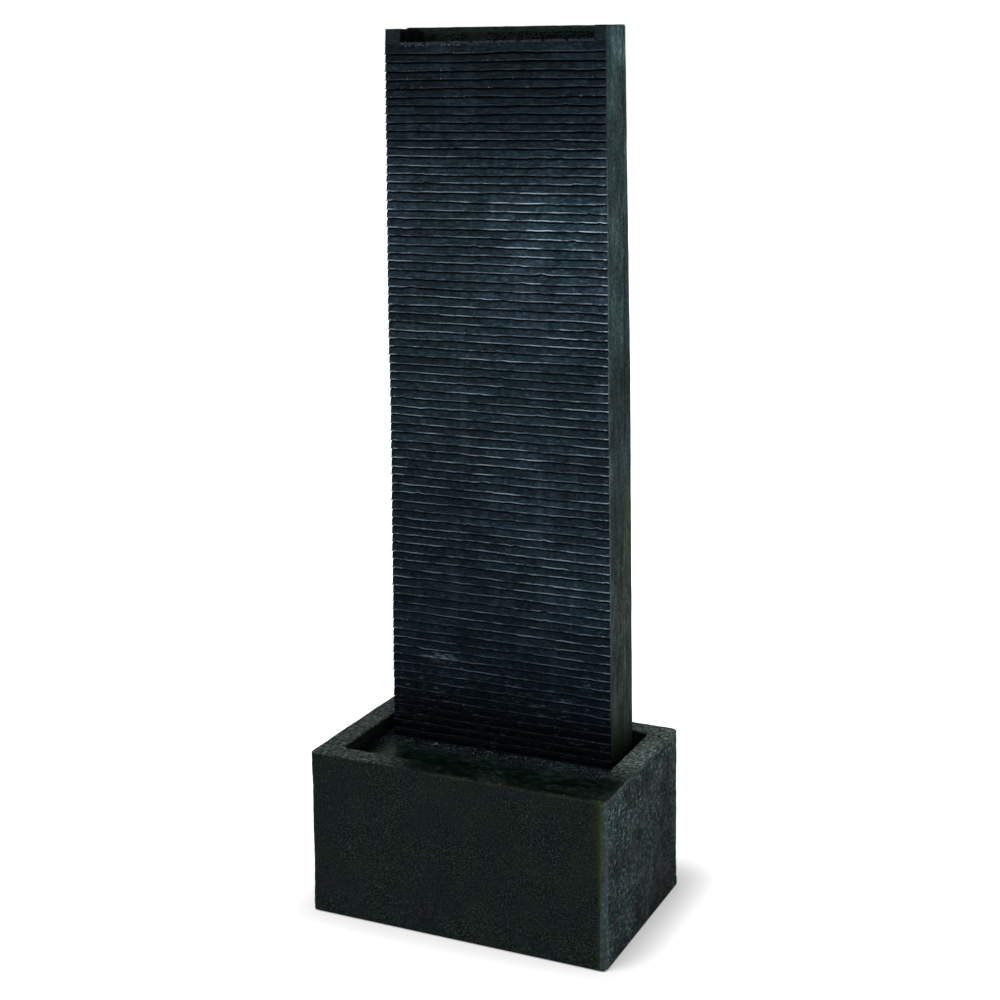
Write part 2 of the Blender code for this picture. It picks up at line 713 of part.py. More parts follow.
def make_rear_panel():
    """The flat rear panel, with a rim down each side that is slimmer towards the top."""
    rim_back = TOWER_BACK + REAR_RIM_BELOW
    outline = [
        (PANEL_FRONT, TOWER_FOOT),
        (rim_back, TOWER_FOOT),
        (rim_back, REAR_RIM_FULL_HEIGHT),
        (TOWER_BACK + REAR_RIM_AT_TOP, TOWER_TOP),
        (PANEL_FRONT, TOWER_TOP),
    ]
    panel = side_outline("rear_panel", outline, -TOWER_TOP_HALF_WIDTH, TOWER_TOP_HALF_WIDTH)
    draft(panel, 0.0)
    round_edges(panel, TOWER_EDGE_RADIUS, 1)
    between_rims = block(
        "between_rims_cutter",
        (-TOWER_TOP_HALF_WIDTH, TOWER_BACK, TOWER_FOOT - CUT_PAST),
        (TOWER_TOP_HALF_WIDTH, rim_back + CUT_PAST, TOWER_TOP + CUT_PAST),
    )
    draft(between_rims, REAR_RIM_THICKNESS)
    cut(panel, between_rims)
    rebate = block(
        "door_rebate_cutter",
        (DOOR_LEFT - DOOR_CLEARANCE, TOWER_BACK - DOOR_REBATE_DEPTH, DOOR_BOTTOM - DOOR_CLEARANCE),
        (DOOR_RIGHT + DOOR_CLEARANCE, TOWER_BACK + CUT_PAST, DOOR_TOP + DOOR_CLEARANCE),
    )
    opening = block(
        "door_opening_cutter",
        (DOOR_LEFT + DOOR_LIP, PANEL_FRONT - CUT_PAST, DOOR_BOTTOM + DOOR_LIP),
        (DOOR_RIGHT - DOOR_LIP, TOWER_BACK + CUT_PAST, DOOR_TOP - DOOR_LIP),
    )
    cord_hole = rod(
        "cord_hole_cutter",
        (GROMMET_X, PANEL_FRONT - CUT_PAST, GROMMET_Z),
        (GROMMET_X, TOWER_BACK + CUT_PAST, GROMMET_Z),
        GROMMET_HOLE_RADIUS + SEAT,
        sides=20,
    )
    cut(panel, rebate, opening, cord_hole)
    for number, (x, z) in enumerate(panel_screw_places(), start=1):
        head_depth = SCREW_HEAD_RADIUS - SCREW_RADIUS
        sink = turned(
            f"panel_screw_cutter_{number}",
            (
                (0.0, CUT_PAST),
                (SCREW_HEAD_RADIUS + SEAT, CUT_PAST),
                (SCREW_HEAD_RADIUS + SEAT, -SEAT),
                (SCREW_HOLE_RADIUS, -head_depth - SEAT),
                (SCREW_HOLE_RADIUS, -CUT_PAST),
                (0.0, -CUT_PAST),
            ),
            (x, TOWER_BACK, z),
            (0, 1, 0),
            steps=16,
        )
        cut(panel, sink)
    finish(panel, "mossy_slate")


def make_panel_screws():
    head_depth = SCREW_HEAD_RADIUS - SCREW_RADIUS
    for number, (x, z) in enumerate(panel_screw_places(), start=1):
        profile = (
            (0.0, -SEAT),
            (SCREW_HEAD_RADIUS, -SEAT),
            (SCREW_RADIUS, -head_depth - SEAT),
            (SCREW_RADIUS, -SCREW_LENGTH + SCREW_POINT),
            (0.0, -SCREW_LENGTH),
        )
        screw = turned(f"rear_panel_screw_{number}", profile, (x, TOWER_BACK, z), (0, 1, 0), steps=16)
        slot_end = 2 * SCREW_HEAD_RADIUS
        slot = block(
            f"panel_screw_slot_{number}",
            (x - slot_end, TOWER_BACK - SEAT - SCREW_SLOT_DEPTH, z - SCREW_SLOT_WIDTH / 2),
            (x + slot_end, TOWER_BACK + SCREW_SLOT_DEPTH, z + SCREW_SLOT_WIDTH / 2),
        )
        cut(screw, slot)
        finish(screw, "stainless_steel")


def make_tray():
    """The tray in the tower's top, whose front lip lies on the shell and spills the water."""
    left = SPILL_LEFT + SEAT
    right = SPILL_RIGHT - SEAT
    front = HOLLOW_FRONT + SEAT
    back = PANEL_FRONT - SEAT
    rim = TOWER_TOP - TRAY_RIM_BELOW_TOP
    tray = block("top_tray", (left, front, TRAY_BOTTOM), (right, back, rim))
    lip = block(
        "tray_lip_joined",
        (left, TOWER_CREST + LIP_SET_BACK, LIP_SEAT + SEAT),
        (right, front + TRAY_WALL, SPILL_LEVEL),
    )
    join(tray, lip)
    inside = block(
        "tray_inside_cutter",
        (left + TRAY_WALL, front + TRAY_WALL, TRAY_FLOOR_TOP),
        (right - TRAY_WALL, back - TRAY_WALL, TOWER_TOP + CUT_PAST),
    )
    spill = block(
        "tray_spill_cutter",
        (left + TRAY_WALL, TOWER_CREST - CUT_PAST, SPILL_LEVEL),
        (right - TRAY_WALL, front + TRAY_WALL + CUT_PAST, TOWER_TOP + CUT_PAST),
    )
    middle = (left + right) / 2
    count = int((right - left - 2 * TRAY_WALL) / WEIR_NOTCH_SPACING)
    notches = []
    for i in range(count):
        x = middle + (i - (count - 1) / 2) * WEIR_NOTCH_SPACING
        low = (x - WEIR_NOTCH_WIDTH / 2, TOWER_CREST - CUT_PAST, SPILL_LEVEL - WEIR_NOTCH_DEPTH)
        high = (x + WEIR_NOTCH_WIDTH / 2, front + TRAY_WALL + CUT_PAST, SPILL_LEVEL + CUT_PAST)
        notches.append((low, high))
    hose_hole = rod(
        "tray_hose_hole_cutter",
        (TAIL_X, TAIL_Y, TRAY_BOTTOM - CUT_PAST),
        (TAIL_X, TAIL_Y, TRAY_FLOOR_TOP + CUT_PAST),
        TAIL_SHANK_RADIUS + SEAT,
    )
    cut(tray, inside, spill, many_blocks("weir_notch_cutter", notches), hose_hole)
    finish(tray, "tray_resin")


def hinge_leaf(name, side, z, own_segments):
    """One leaf of a butt hinge: side is -1 for the panel's leaf and 1 for the door's."""
    base = TOWER_BACK + SEAT
    near = HINGE_X + side * (HINGE_KNUCKLE_RADIUS + HINGE_CLEARANCE)
    far = near + side * HINGE_LEAF_WIDTH
    low = z - HINGE_HEIGHT / 2
    leaf = block(
        name,
        (min(near, far), base, low),
        (max(near, far), base + HINGE_LEAF_THICKNESS, low + HINGE_HEIGHT),
    )
    third = HINGE_HEIGHT / 3
    for segment in own_segments:
        bottom = low + segment * third + HINGE_CLEARANCE / 2
        top = low + (segment + 1) * third - HINGE_CLEARANCE / 2
        inner = near + side * JOIN_OVERLAP
        bridge = block(
            f"{name}_bridge_{segment}",
            (min(HINGE_X, inner), base, bottom),
            (max(HINGE_X, inner), base + HINGE_LEAF_THICKNESS, top),
        )
        knuckle = rod(
            f"{name}_knuckle_{segment}",
            (HINGE_X, HINGE_Y, bottom),
            (HINGE_X, HINGE_Y, top),
            HINGE_KNUCKLE_RADIUS,
            sides=16,
        )
        join(leaf, bridge, knuckle)
    bore = rod(
        f"{name}_bore_cutter",
        (HINGE_X, HINGE_Y, low - SMALL_CUT_PAST),
        (HINGE_X, HINGE_Y, low + HINGE_HEIGHT + SMALL_CUT_PAST),
        HINGE_PIN_RADIUS + SEAT,
        sides=12,
    )
    cut(leaf, bore)
    return finish(leaf, "stainless_steel")


def make_hinges():
    door_leaves = []
    levels = (
        ("lower", DOOR_BOTTOM + HINGE_FROM_DOOR_END),
        ("upper", DOOR_TOP - HINGE_FROM_DOOR_END),
    )
    for level, z in levels:
        hinge_leaf(f"{level}_hinge_panel_leaf", -1, z, (0, 2))
        door_leaves.append(hinge_leaf(f"{level}_hinge_door_leaf", 1, z, (1,)))
        half = HINGE_HEIGHT / 2 + SEAT
        head = HINGE_PIN_HEAD_HEIGHT
        profile = (
            (0.0, half + head),
            (HINGE_PIN_HEAD_RADIUS, half + head),
            (HINGE_PIN_HEAD_RADIUS, half),
            (HINGE_PIN_RADIUS, half),
            (HINGE_PIN_RADIUS, -half),
            (HINGE_PIN_HEAD_RADIUS, -half),
            (HINGE_PIN_HEAD_RADIUS, -half - head),
            (0.0, -half - head),
        )
        pin = turned(f"{level}_hinge_pin", profile, (HINGE_X, HINGE_Y, z), (0, 0, 1), steps=12)
        finish(pin, "stainless_steel")
    return door_leaves


def make_door():
    door = block(
        "access_door",
        (DOOR_LEFT, DOOR_FRONT, DOOR_BOTTOM),
        (DOOR_RIGHT, TOWER_BACK, DOOR_TOP),
    )
    round_edges(door, DOOR_EDGE_RADIUS, 1)
    knob_x = DOOR_RIGHT - KNOB_FROM_EDGE
    knob_z = (DOOR_BOTTOM + DOOR_TOP) / 2
    hole = rod(
        "knob_screw_cutter",
        (knob_x, DOOR_FRONT - CUT_PAST, knob_z),
        (knob_x, TOWER_BACK + CUT_PAST, knob_z),
        KNOB_SCREW_RADIUS + SEAT,
        sides=12,
    )
    cut(door, hole)
    finish(door, "mossy_slate")

    foot = TOWER_BACK + SEAT
    profile = (
        (0.0, KNOB_HEIGHT),
        (KNOB_RADIUS * 0.7, KNOB_HEIGHT - 0.0005),
        (KNOB_RADIUS, KNOB_HEIGHT - 0.003),
        (KNOB_RADIUS * 0.9, KNOB_HEIGHT - 0.006),
        (KNOB_NECK_RADIUS, 0.006),
        (KNOB_NECK_RADIUS, 0.003),
        (KNOB_RADIUS * 0.8, 0.0012),
        (KNOB_RADIUS * 0.8, 0.0),
        (0.0, 0.0),
    )
    knob = turned("door_knob", profile, (knob_x, foot, knob_z), (0, 1, 0))
    socket = rod(
        "knob_socket_cutter",
        (knob_x, foot - SMALL_CUT_PAST, knob_z),
        (knob_x, foot + KNOB_SCREW_DEPTH, knob_z),
        KNOB_SCREW_RADIUS + SEAT,
        sides=12,
    )
    cut(knob, socket)
    finish(knob, "stainless_steel")

    head = KNOB_SCREW_HEAD_HEIGHT
    reach = DOOR_THICKNESS + SEAT + KNOB_SCREW_DEPTH
    screw_profile = (
        (0.0, reach),
        (KNOB_SCREW_RADIUS, reach - 0.001),
        (KNOB_SCREW_RADIUS, -SEAT),
        (SCREW_HEAD_RADIUS, -SEAT),
        (SCREW_HEAD_RADIUS, -SEAT - head * 0.5),
        (SCREW_HEAD_RADIUS * 0.7, -SEAT - head),
        (0.0, -SEAT - head),
    )
    screw = turned("door_knob_screw", screw_profile, (knob_x, DOOR_FRONT, knob_z), (0, 1, 0), steps=16)
    finish(screw, "stainless_steel")

    low = DOOR_BOTTOM + DOOR_HEIGHT * 0.75 - CATCH_HEIGHT / 2
    opening_right = DOOR_RIGHT - DOOR_LIP
    keeper = block(
        "catch_keeper",
        (opening_right - DOOR_CLEARANCE - KEEPER_WIDTH, PANEL_FRONT + SEAT, low),
        (opening_right - DOOR_CLEARANCE, DOOR_FRONT - SEAT, low + CATCH_HEIGHT),
    )
    finish(keeper, "stainless_steel")
    catch = block(
        "catch_magnet",
        (opening_right - DOOR_CLEARANCE - KEEPER_WIDTH, PANEL_FRONT - SEAT - CATCH_THICKNESS, low),
        (opening_right - DOOR_CLEARANCE - KEEPER_WIDTH + CATCH_WIDTH, PANEL_FRONT - SEAT, low + CATCH_HEIGHT),
    )
    round_edges(catch, CATCH_EDGE_RADIUS, 1)
    finish(catch, "black_plastic")
    return [door, knob, screw, keeper]


def make_grommet():
    half = REAR_PANEL_THICKNESS / 2
    flange_in = half + SEAT
    flange_out = flange_in + GROMMET_FLANGE_THICKNESS
    profile = (
        (GROMMET_BORE_RADIUS, flange_out),
        (GROMMET_FLANGE_RADIUS - 0.001, flange_out),
        (GROMMET_FLANGE_RADIUS, flange_in + 0.0008),
        (GROMMET_FLANGE_RADIUS, flange_in),
        (GROMMET_HOLE_RADIUS, flange_in),
        (GROMMET_HOLE_RADIUS, -flange_in),
        (GROMMET_FLANGE_RADIUS, -flange_in),
        (GROMMET_FLANGE_RADIUS, -flange_in - 0.0008),
        (GROMMET_FLANGE_RADIUS - 0.001, -flange_out),
        (GROMMET_BORE_RADIUS, -flange_out),
    )
    middle = (GROMMET_X, TOWER_BACK - half, GROMMET_Z)
    grommet = turned("cord_grommet", profile, middle, (0, 1, 0), steps=20, ring=True)
    finish(grommet, "black_rubber")


def bracket_y():
    """Front and back edges of the angle brackets, against the rear panel."""
    back = PANEL_FRONT - BRACKET_FROM_PANEL
    return back - BRACKET_WIDTH, back


def floor_screw_places():
    front, back = bracket_y()
    reach = tower_half_width(TOWER_FOOT) - TOWER_SIDE_WALL - BRACKET_SCREW_UP_LEG
    middle = (front + back) / 2
    return (("left", -reach, middle), ("right", reach, middle))


def wall_screw_places():
    front, back = bracket_y()
    middle = (front + back) / 2
    z = FLOOR_TOP + BRACKET_SCREW_UP_LEG
    return (("left", -1, middle, z), ("right", 1, middle, z))


def pan_screw(name, place, axis, length):
    """A pan-head screw whose head sits at place and whose shank runs the other way from axis."""
    profile = (
        (0.0, BRACKET_SCREW_HEAD_HEIGHT),
        (BRACKET_SCREW_HEAD_RADIUS * 0.7, BRACKET_SCREW_HEAD_HEIGHT),
        (BRACKET_SCREW_HEAD_RADIUS, BRACKET_SCREW_HEAD_HEIGHT * 0.5),
        (BRACKET_SCREW_HEAD_RADIUS, 0.0),
        (BRACKET_SCREW_RADIUS, 0.0),
        (BRACKET_SCREW_RADIUS, -length + 0.001),
        (BRACKET_SCREW_RADIUS * 0.5, -length),
        (0.0, -length),
    )
    return finish(turned(name, profile, place, axis, steps=12), "stainless_steel")


def make_brackets():
    front, back = bracket_y()
    foot = TOWER_FOOT
    top = foot + BRACKET_LEG
    for sign, side in ((-1, "left"), (1, "right")):
        upright_face = tower_half_width(foot) - TOWER_SIDE_WALL - 2 * SEAT
        top_face = tower_half_width(top) - TOWER_SIDE_WALL - 2 * SEAT
        face = min(upright_face, top_face)
        inner = face - BRACKET_THICKNESS
        outline = (
            (inner - BRACKET_LEG, foot),
            (face, foot),
            (face, top),
            (inner, top),
            (inner, foot + BRACKET_THICKNESS),
            (inner - BRACKET_LEG, foot + BRACKET_THICKNESS),
        )
        curve = bpy.data.curves.new(f"tower_bracket_{side}", "CURVE")
        curve.dimensions = "2D"
        curve.fill_mode = "BOTH"
        curve.extrude = (back - front) / 2
        add_spline(curve, [(sign * x, z, 0.0) for x, z in outline], closed=True)
        flat = bpy.data.objects.new(f"tower_bracket_{side}", curve)
        bpy.context.scene.collection.objects.link(flat)
        flat.location = (0, (front + back) / 2, 0)
        flat.rotation_euler = (math.pi / 2, 0, 0)
        bracket = meshed(flat)
        (_, floor_x, y) = floor_screw_places()[0 if sign < 0 else 1]
        (_, _, _, z) = wall_screw_places()[0 if sign < 0 else 1]
        floor_hole = rod(
            f"bracket_floor_cutter_{side}",
            (floor_x, y, foot - SMALL_CUT_PAST),
            (floor_x, y, foot + CUT_PAST),
            BRACKET_SCREW_RADIUS + SEAT,
            sides=12,
        )
        wall_hole = rod(
            f"bracket_wall_cutter_{side}",
            (sign * (inner - SMALL_CUT_PAST), y, z),
            (sign * (face + SMALL_CUT_PAST), y, z),
            BRACKET_SCREW_RADIUS + SEAT,
            sides=12,
        )
        cut(bracket, floor_hole, wall_hole)
        finish(bracket, "stainless_steel")
        pan_screw(
            f"bracket_floor_screw_{side}",
            (floor_x, y, foot + BRACKET_THICKNESS + SEAT),
            (0, 0, 1),
            BRACKET_FLOOR_SCREW_LENGTH,
        )
        pan_screw(
            f"bracket_wall_screw_{side}",
            (sign * (inner - SEAT), y, z),
            (-sign, 0, 0),
            BRACKET_WALL_SCREW_LENGTH,
        )


def along_pump(x, y=0.0, z=0.0):
    """A point given from the pump's shaft: x is the real X, y and z are off the shaft."""
    return (x, PUMP_Y + y, PUMP_Z + z)


def foot_places():
    reach_y = MOTOR_WIDTH / 2 - SUCTION_FOOT_RADIUS - 0.001
    rear = PUMP_SHAFT_X - MOTOR_LENGTH + SUCTION_FOOT_RADIUS + 0.002
    front = PUMP_SHAFT_X - SUCTION_FOOT_RADIUS - 0.002
    return [(x, sign * reach_y) for x in (rear, front) for sign in (-1, 1)]


def make_motor():
    back = PUMP_SHAFT_X - MOTOR_LENGTH
    housing = block(
        "pump_motor_housing",
        along_pump(back, -MOTOR_WIDTH / 2, -MOTOR_HEIGHT / 2),
        along_pump(PUMP_SHAFT_X, MOTOR_WIDTH / 2, MOTOR_HEIGHT / 2),
    )
    round_edges(housing, PUMP_EDGE_RADIUS)
    well_end = PUMP_SHAFT_X - ROTOR_WELL_DEPTH
    well = rod(
        "rotor_well_cutter",
        along_pump(PUMP_SHAFT_X + SMALL_CUT_PAST),
        along_pump(well_end),
        ROTOR_WELL_RADIUS,
    )
    bush_seat = rod(
        "rear_bush_cutter",
        along_pump(well_end + SMALL_CUT_PAST),
        along_pump(well_end - BUSH_LENGTH - SEAT),
        BUSH_RADIUS + SEAT,
        sides=16,
    )
    gland_seat = rod(
        "gland_seat_cutter",
        along_pump(back - SMALL_CUT_PAST),
        along_pump(back + CORD_GLAND_SEAT_DEPTH),
        CORD_GLAND_RADIUS + SEAT,
        sides=16,
    )
    cut(housing, well, bush_seat, gland_seat)
    for number, (x, y) in enumerate(foot_places(), start=1):
        stud_hole = rod(
            f"foot_stud_cutter_{number}",
            along_pump(x, y, -MOTOR_HEIGHT / 2 - SMALL_CUT_PAST),
            along_pump(x, y, -MOTOR_HEIGHT / 2 + SUCTION_STUD_LENGTH + SEAT),
            SUCTION_STUD_RADIUS + SEAT,
            sides=12,
        )
        cut(housing, stud_hole)
    finish(housing, "black_plastic")


def make_suction_feet():
    base = -MOTOR_HEIGHT / 2 - SEAT
    for number, (x, y) in enumerate(foot_places(), start=1):
        profile = (
            (0.0, SUCTION_STUD_LENGTH),
            (SUCTION_STUD_RADIUS, SUCTION_STUD_LENGTH),
            (SUCTION_STUD_RADIUS, 0.0),
            (SUCTION_FOOT_RADIUS * 0.55, 0.0),
            (SUCTION_FOOT_RADIUS * 0.55, -SUCTION_FOOT_HEIGHT * 0.4),
            (SUCTION_FOOT_RADIUS, -SUCTION_FOOT_HEIGHT),
            (SUCTION_FOOT_RADIUS - 0.0012, -SUCTION_FOOT_HEIGHT),
            (0.0, -SUCTION_FOOT_HEIGHT * 0.6),
        )
        foot = turned(f"pump_suction_foot_{number}", profile, along_pump(x, y, base), (0, 0, 1), steps=16)
        finish(foot, "black_rubber")


def make_cord_gland():
    back = PUMP_SHAFT_X - MOTOR_LENGTH
    inside = CORD_GLAND_INSIDE
    profile = (
        (CORD_RADIUS, CORD_GLAND_LENGTH),
        (CORD_RADIUS + 0.001, CORD_GLAND_LENGTH),
        (CORD_GLAND_RADIUS, 0.003),
        (CORD_GLAND_RADIUS + 0.002, 0.002),
        (CORD_GLAND_RADIUS + 0.002, SEAT),
        (CORD_GLAND_RADIUS, SEAT),
        (CORD_GLAND_RADIUS, -inside),
        (0.0, -inside),
        (0.0, -inside + 0.001),
        (CORD_RADIUS, -inside + 0.001),
    )
    gland = turned("pump_cord_gland", profile, along_pump(back), (-1, 0, 0), steps=16, ring=True)
    finish(gland, "black_rubber")


def make_volute():
    low = -VOLUTE_HEIGHT / 2
    volute = block(
        "pump_volute",
        along_pump(VOLUTE_X, -VOLUTE_WIDTH / 2, low),
        along_pump(VOLUTE_END, VOLUTE_WIDTH / 2, -low),
    )
    round_edges(volute, PUMP_EDGE_RADIUS)
    shoulder = NOZZLE_SHOULDER - PUMP_Z
    nozzle = turned(
        "volute_nozzle_joined",
        (
            (0.0, shoulder + BARB_LENGTH),
            (BARB_RADIUS * 0.9, shoulder + BARB_LENGTH),
            (BARB_RADIUS, shoulder + BARB_LENGTH * 0.8),
            (BARB_RADIUS * 0.9, shoulder + BARB_LENGTH * 0.75),
            (BARB_RADIUS, shoulder + BARB_LENGTH * 0.5),
            (BARB_RADIUS * 0.9, shoulder + BARB_LENGTH * 0.45),
            (BARB_RADIUS, shoulder),
            (HOSE_RADIUS, shoulder),
            (HOSE_RADIUS, 0.0),
            (0.0, 0.0),
        ),
        along_pump(NOZZLE_X),
        (0, 0, 1),
        steps=16,
    )
    join(volute, nozzle)
    chamber_end = VOLUTE_END - VOLUTE_FRONT_WALL
    chamber = rod(
        "volute_chamber_cutter",
        along_pump(VOLUTE_X - SMALL_CUT_PAST),
        along_pump(chamber_end),
        CHAMBER_RADIUS,
    )
    outlet = rod(
        "volute_outlet_cutter",
        along_pump(NOZZLE_X),
        along_pump(NOZZLE_X, 0.0, shoulder + BARB_LENGTH + SMALL_CUT_PAST),
        BARB_BORE_RADIUS,
        sides=16,
    )
    groove = turned(
        "o_ring_groove_cutter",
        (
            (O_RING_RADIUS - O_RING_GROOVE_HALF_WIDTH, O_RING_GROOVE_DEPTH),
            (O_RING_RADIUS + O_RING_GROOVE_HALF_WIDTH, O_RING_GROOVE_DEPTH),
            (O_RING_RADIUS + O_RING_GROOVE_HALF_WIDTH, -SMALL_CUT_PAST),
            (O_RING_RADIUS - O_RING_GROOVE_HALF_WIDTH, -SMALL_CUT_PAST),
        ),
        along_pump(VOLUTE_X),
        (1, 0, 0),
        ring=True,
    )
    spider = turned(
        "eye_ring_cutter",
        (
            (EYE_RADIUS, CUT_PAST),
            (EYE_RADIUS, -CUT_PAST),
            (BUSH_RADIUS + EYE_HUB_WALL, -CUT_PAST),
            (BUSH_RADIUS + EYE_HUB_WALL, CUT_PAST),
        ),
        along_pump(VOLUTE_END),
        (-1, 0, 0),
        steps=16,
        ring=True,
    )
    half_spoke = EYE_SPOKE_WIDTH / 2
    spokes = block(
        "eye_spokes_kept",
        along_pump(chamber_end - 2 * CUT_PAST, -half_spoke, -EYE_RADIUS - SMALL_CUT_PAST),
        along_pump(VOLUTE_END + 2 * CUT_PAST, half_spoke, EYE_RADIUS + SMALL_CUT_PAST),
    )
    cut(spider, spokes)
    bush_hole = rod(
        "front_bush_cutter",
        along_pump(chamber_end - SMALL_CUT_PAST),
        along_pump(VOLUTE_END + SMALL_CUT_PAST),
        BUSH_RADIUS + SEAT,
        sides=16,
    )
    cut(volute, chamber, outlet, groove, spider, bush_hole)
    finish(volute, "black_plastic")


def make_pump_inside():
    """Shaft, its two bushes and the O-ring between housing and volute."""
    well_end = PUMP_SHAFT_X - ROTOR_WELL_DEPTH
    front_bush_end = VOLUTE_END
    for name, start in (
        ("pump_rear_bush", well_end - BUSH_LENGTH),
        ("pump_front_bush", front_bush_end - BUSH_LENGTH),
    ):
        profile = (
            (BUSH_RADIUS, BUSH_LENGTH),
            (BUSH_RADIUS, 0.0),
            (SHAFT_RADIUS + SEAT, 0.0),
            (SHAFT_RADIUS + SEAT, BUSH_LENGTH),
        )
        bush = turned(name, profile, along_pump(start), (1, 0, 0), steps=16, ring=True)
        finish(bush, "white_ceramic")
    shaft = rod(
        "pump_shaft",
        along_pump(well_end - BUSH_LENGTH + SEAT),
        along_pump(front_bush_end),
        SHAFT_RADIUS,
        sides=16,
    )
    finish(shaft, "white_ceramic")
    turns = 6
    section = []
    for i in range(turns):
        angle = -2 * math.pi * i / turns
        section.append((O_RING_RADIUS + O_RING_SECTION * math.cos(angle), O_RING_SECTION * math.sin(angle)))
    o_ring = turned(
        "pump_o_ring",
        section,
        along_pump(VOLUTE_X + O_RING_SECTION),
        (1, 0, 0),
        ring=True,
    )
    finish(o_ring, "black_rubber")


def make_rotor():
    """The ring magnet in the motor and the impeller that carries it, both turning on the shaft."""
    bore = SHAFT_RADIUS + SHAFT_CLEARANCE
    disc_x = VOLUTE_X + ROTOR_END_PLAY
    magnet_start = PUMP_SHAFT_X - ROTOR_WELL_DEPTH + ROTOR_END_PLAY
    magnet = turned(
        "pump_rotor_magnet",
        (
            (MAGNET_RADIUS, MAGNET_LENGTH),
            (MAGNET_RADIUS, 0.0),
            (ROTOR_STEM_RADIUS + SEAT, 0.0),
            (ROTOR_STEM_RADIUS + SEAT, MAGNET_LENGTH),
        ),
        along_pump(magnet_start),
        (1, 0, 0),
        ring=True,
    )
    finish(magnet, "dark_magnet")
    hub_top = IMPELLER_DISC + IMPELLER_VANE_HEIGHT
    stem = magnet_start - disc_x
    impeller = turned(
        "pump_impeller",
        (
            (bore, hub_top),
            (ROTOR_STEM_RADIUS * 0.7, hub_top),
            (ROTOR_STEM_RADIUS * 0.7, IMPELLER_DISC),
            (IMPELLER_RADIUS, IMPELLER_DISC),
            (IMPELLER_RADIUS, 0.0),
            (ROTOR_STEM_RADIUS, 0.0),
            (ROTOR_STEM_RADIUS, stem),
            (bore, stem),
        ),
        along_pump(disc_x),
        (1, 0, 0),
        ring=True,
    )
    for i in range(IMPELLER_VANES):
        half = IMPELLER_VANE_THICKNESS / 2
        reach = IMPELLER_DISC / 2 + IMPELLER_VANE_HEIGHT * 0.9
        vane = block(
            f"impeller_vane_{i + 1}",
            (0.0, -half, ROTOR_STEM_RADIUS * 0.5),
            (reach, half, IMPELLER_RADIUS - 0.0004),
        )
        turn = Matrix.Rotation(2 * math.pi * i / IMPELLER_VANES, 4, "X")
        start = Matrix.Translation(along_pump(disc_x + IMPELLER_DISC / 2))
        vane.matrix_world = start @ turn @ vane.matrix_world
        join(impeller, vane)
    finish(impeller, "grey_plastic")
    hang("pump_shaft_axis", along_pump(PUMP_SHAFT_X), [magnet, impeller])


def make_strainer():
    """The slotted cap that slides over the front of the volute."""
    inner_y = VOLUTE_WIDTH / 2 + SEAT
    inner_z = VOLUTE_HEIGHT / 2 + SEAT
    start = STRAINER_START
    end = VOLUTE_END + STRAINER_REACH
    strainer = block(
        "pump_strainer",
        along_pump(start, -inner_y - STRAINER_WALL, -inner_z - STRAINER_WALL),
        along_pump(end, inner_y + STRAINER_WALL, inner_z + STRAINER_WALL),
    )
    round_edges(strainer, STRAINER_WALL * 0.8, 1)
    inside = block(
        "strainer_inside_cutter",
        along_pump(start - SMALL_CUT_PAST, -inner_y, -inner_z),
        along_pump(end - STRAINER_WALL, inner_y, inner_z),
    )
    stem_hole = rod(
        "strainer_stem_cutter",
        along_pump(end - 2 * SMALL_CUT_PAST),
        along_pump(end + SMALL_CUT_PAST),
        DIAL_STEM_RADIUS + SEAT,
        sides=16,
    )
    room = 2 * inner_z - 0.008
    slots = []
    for i in range(STRAINER_SLOTS):
        z = -room / 2 + room * i / (STRAINER_SLOTS - 1)
        for sign in (-1, 1):
            edges = sorted((sign * (DIAL_RADIUS + 0.002), sign * (inner_y - 0.002)))
            low = along_pump(end - STRAINER_WALL - SMALL_CUT_PAST, edges[0], z - STRAINER_SLOT / 2)
            high = along_pump(end + SMALL_CUT_PAST, edges[1], z + STRAINER_SLOT / 2)
            slots.append((low, high))
    cut(strainer, inside, stem_hole, many_blocks("strainer_slots_cutter", slots))
    finish(strainer, "grey_plastic")
    return end


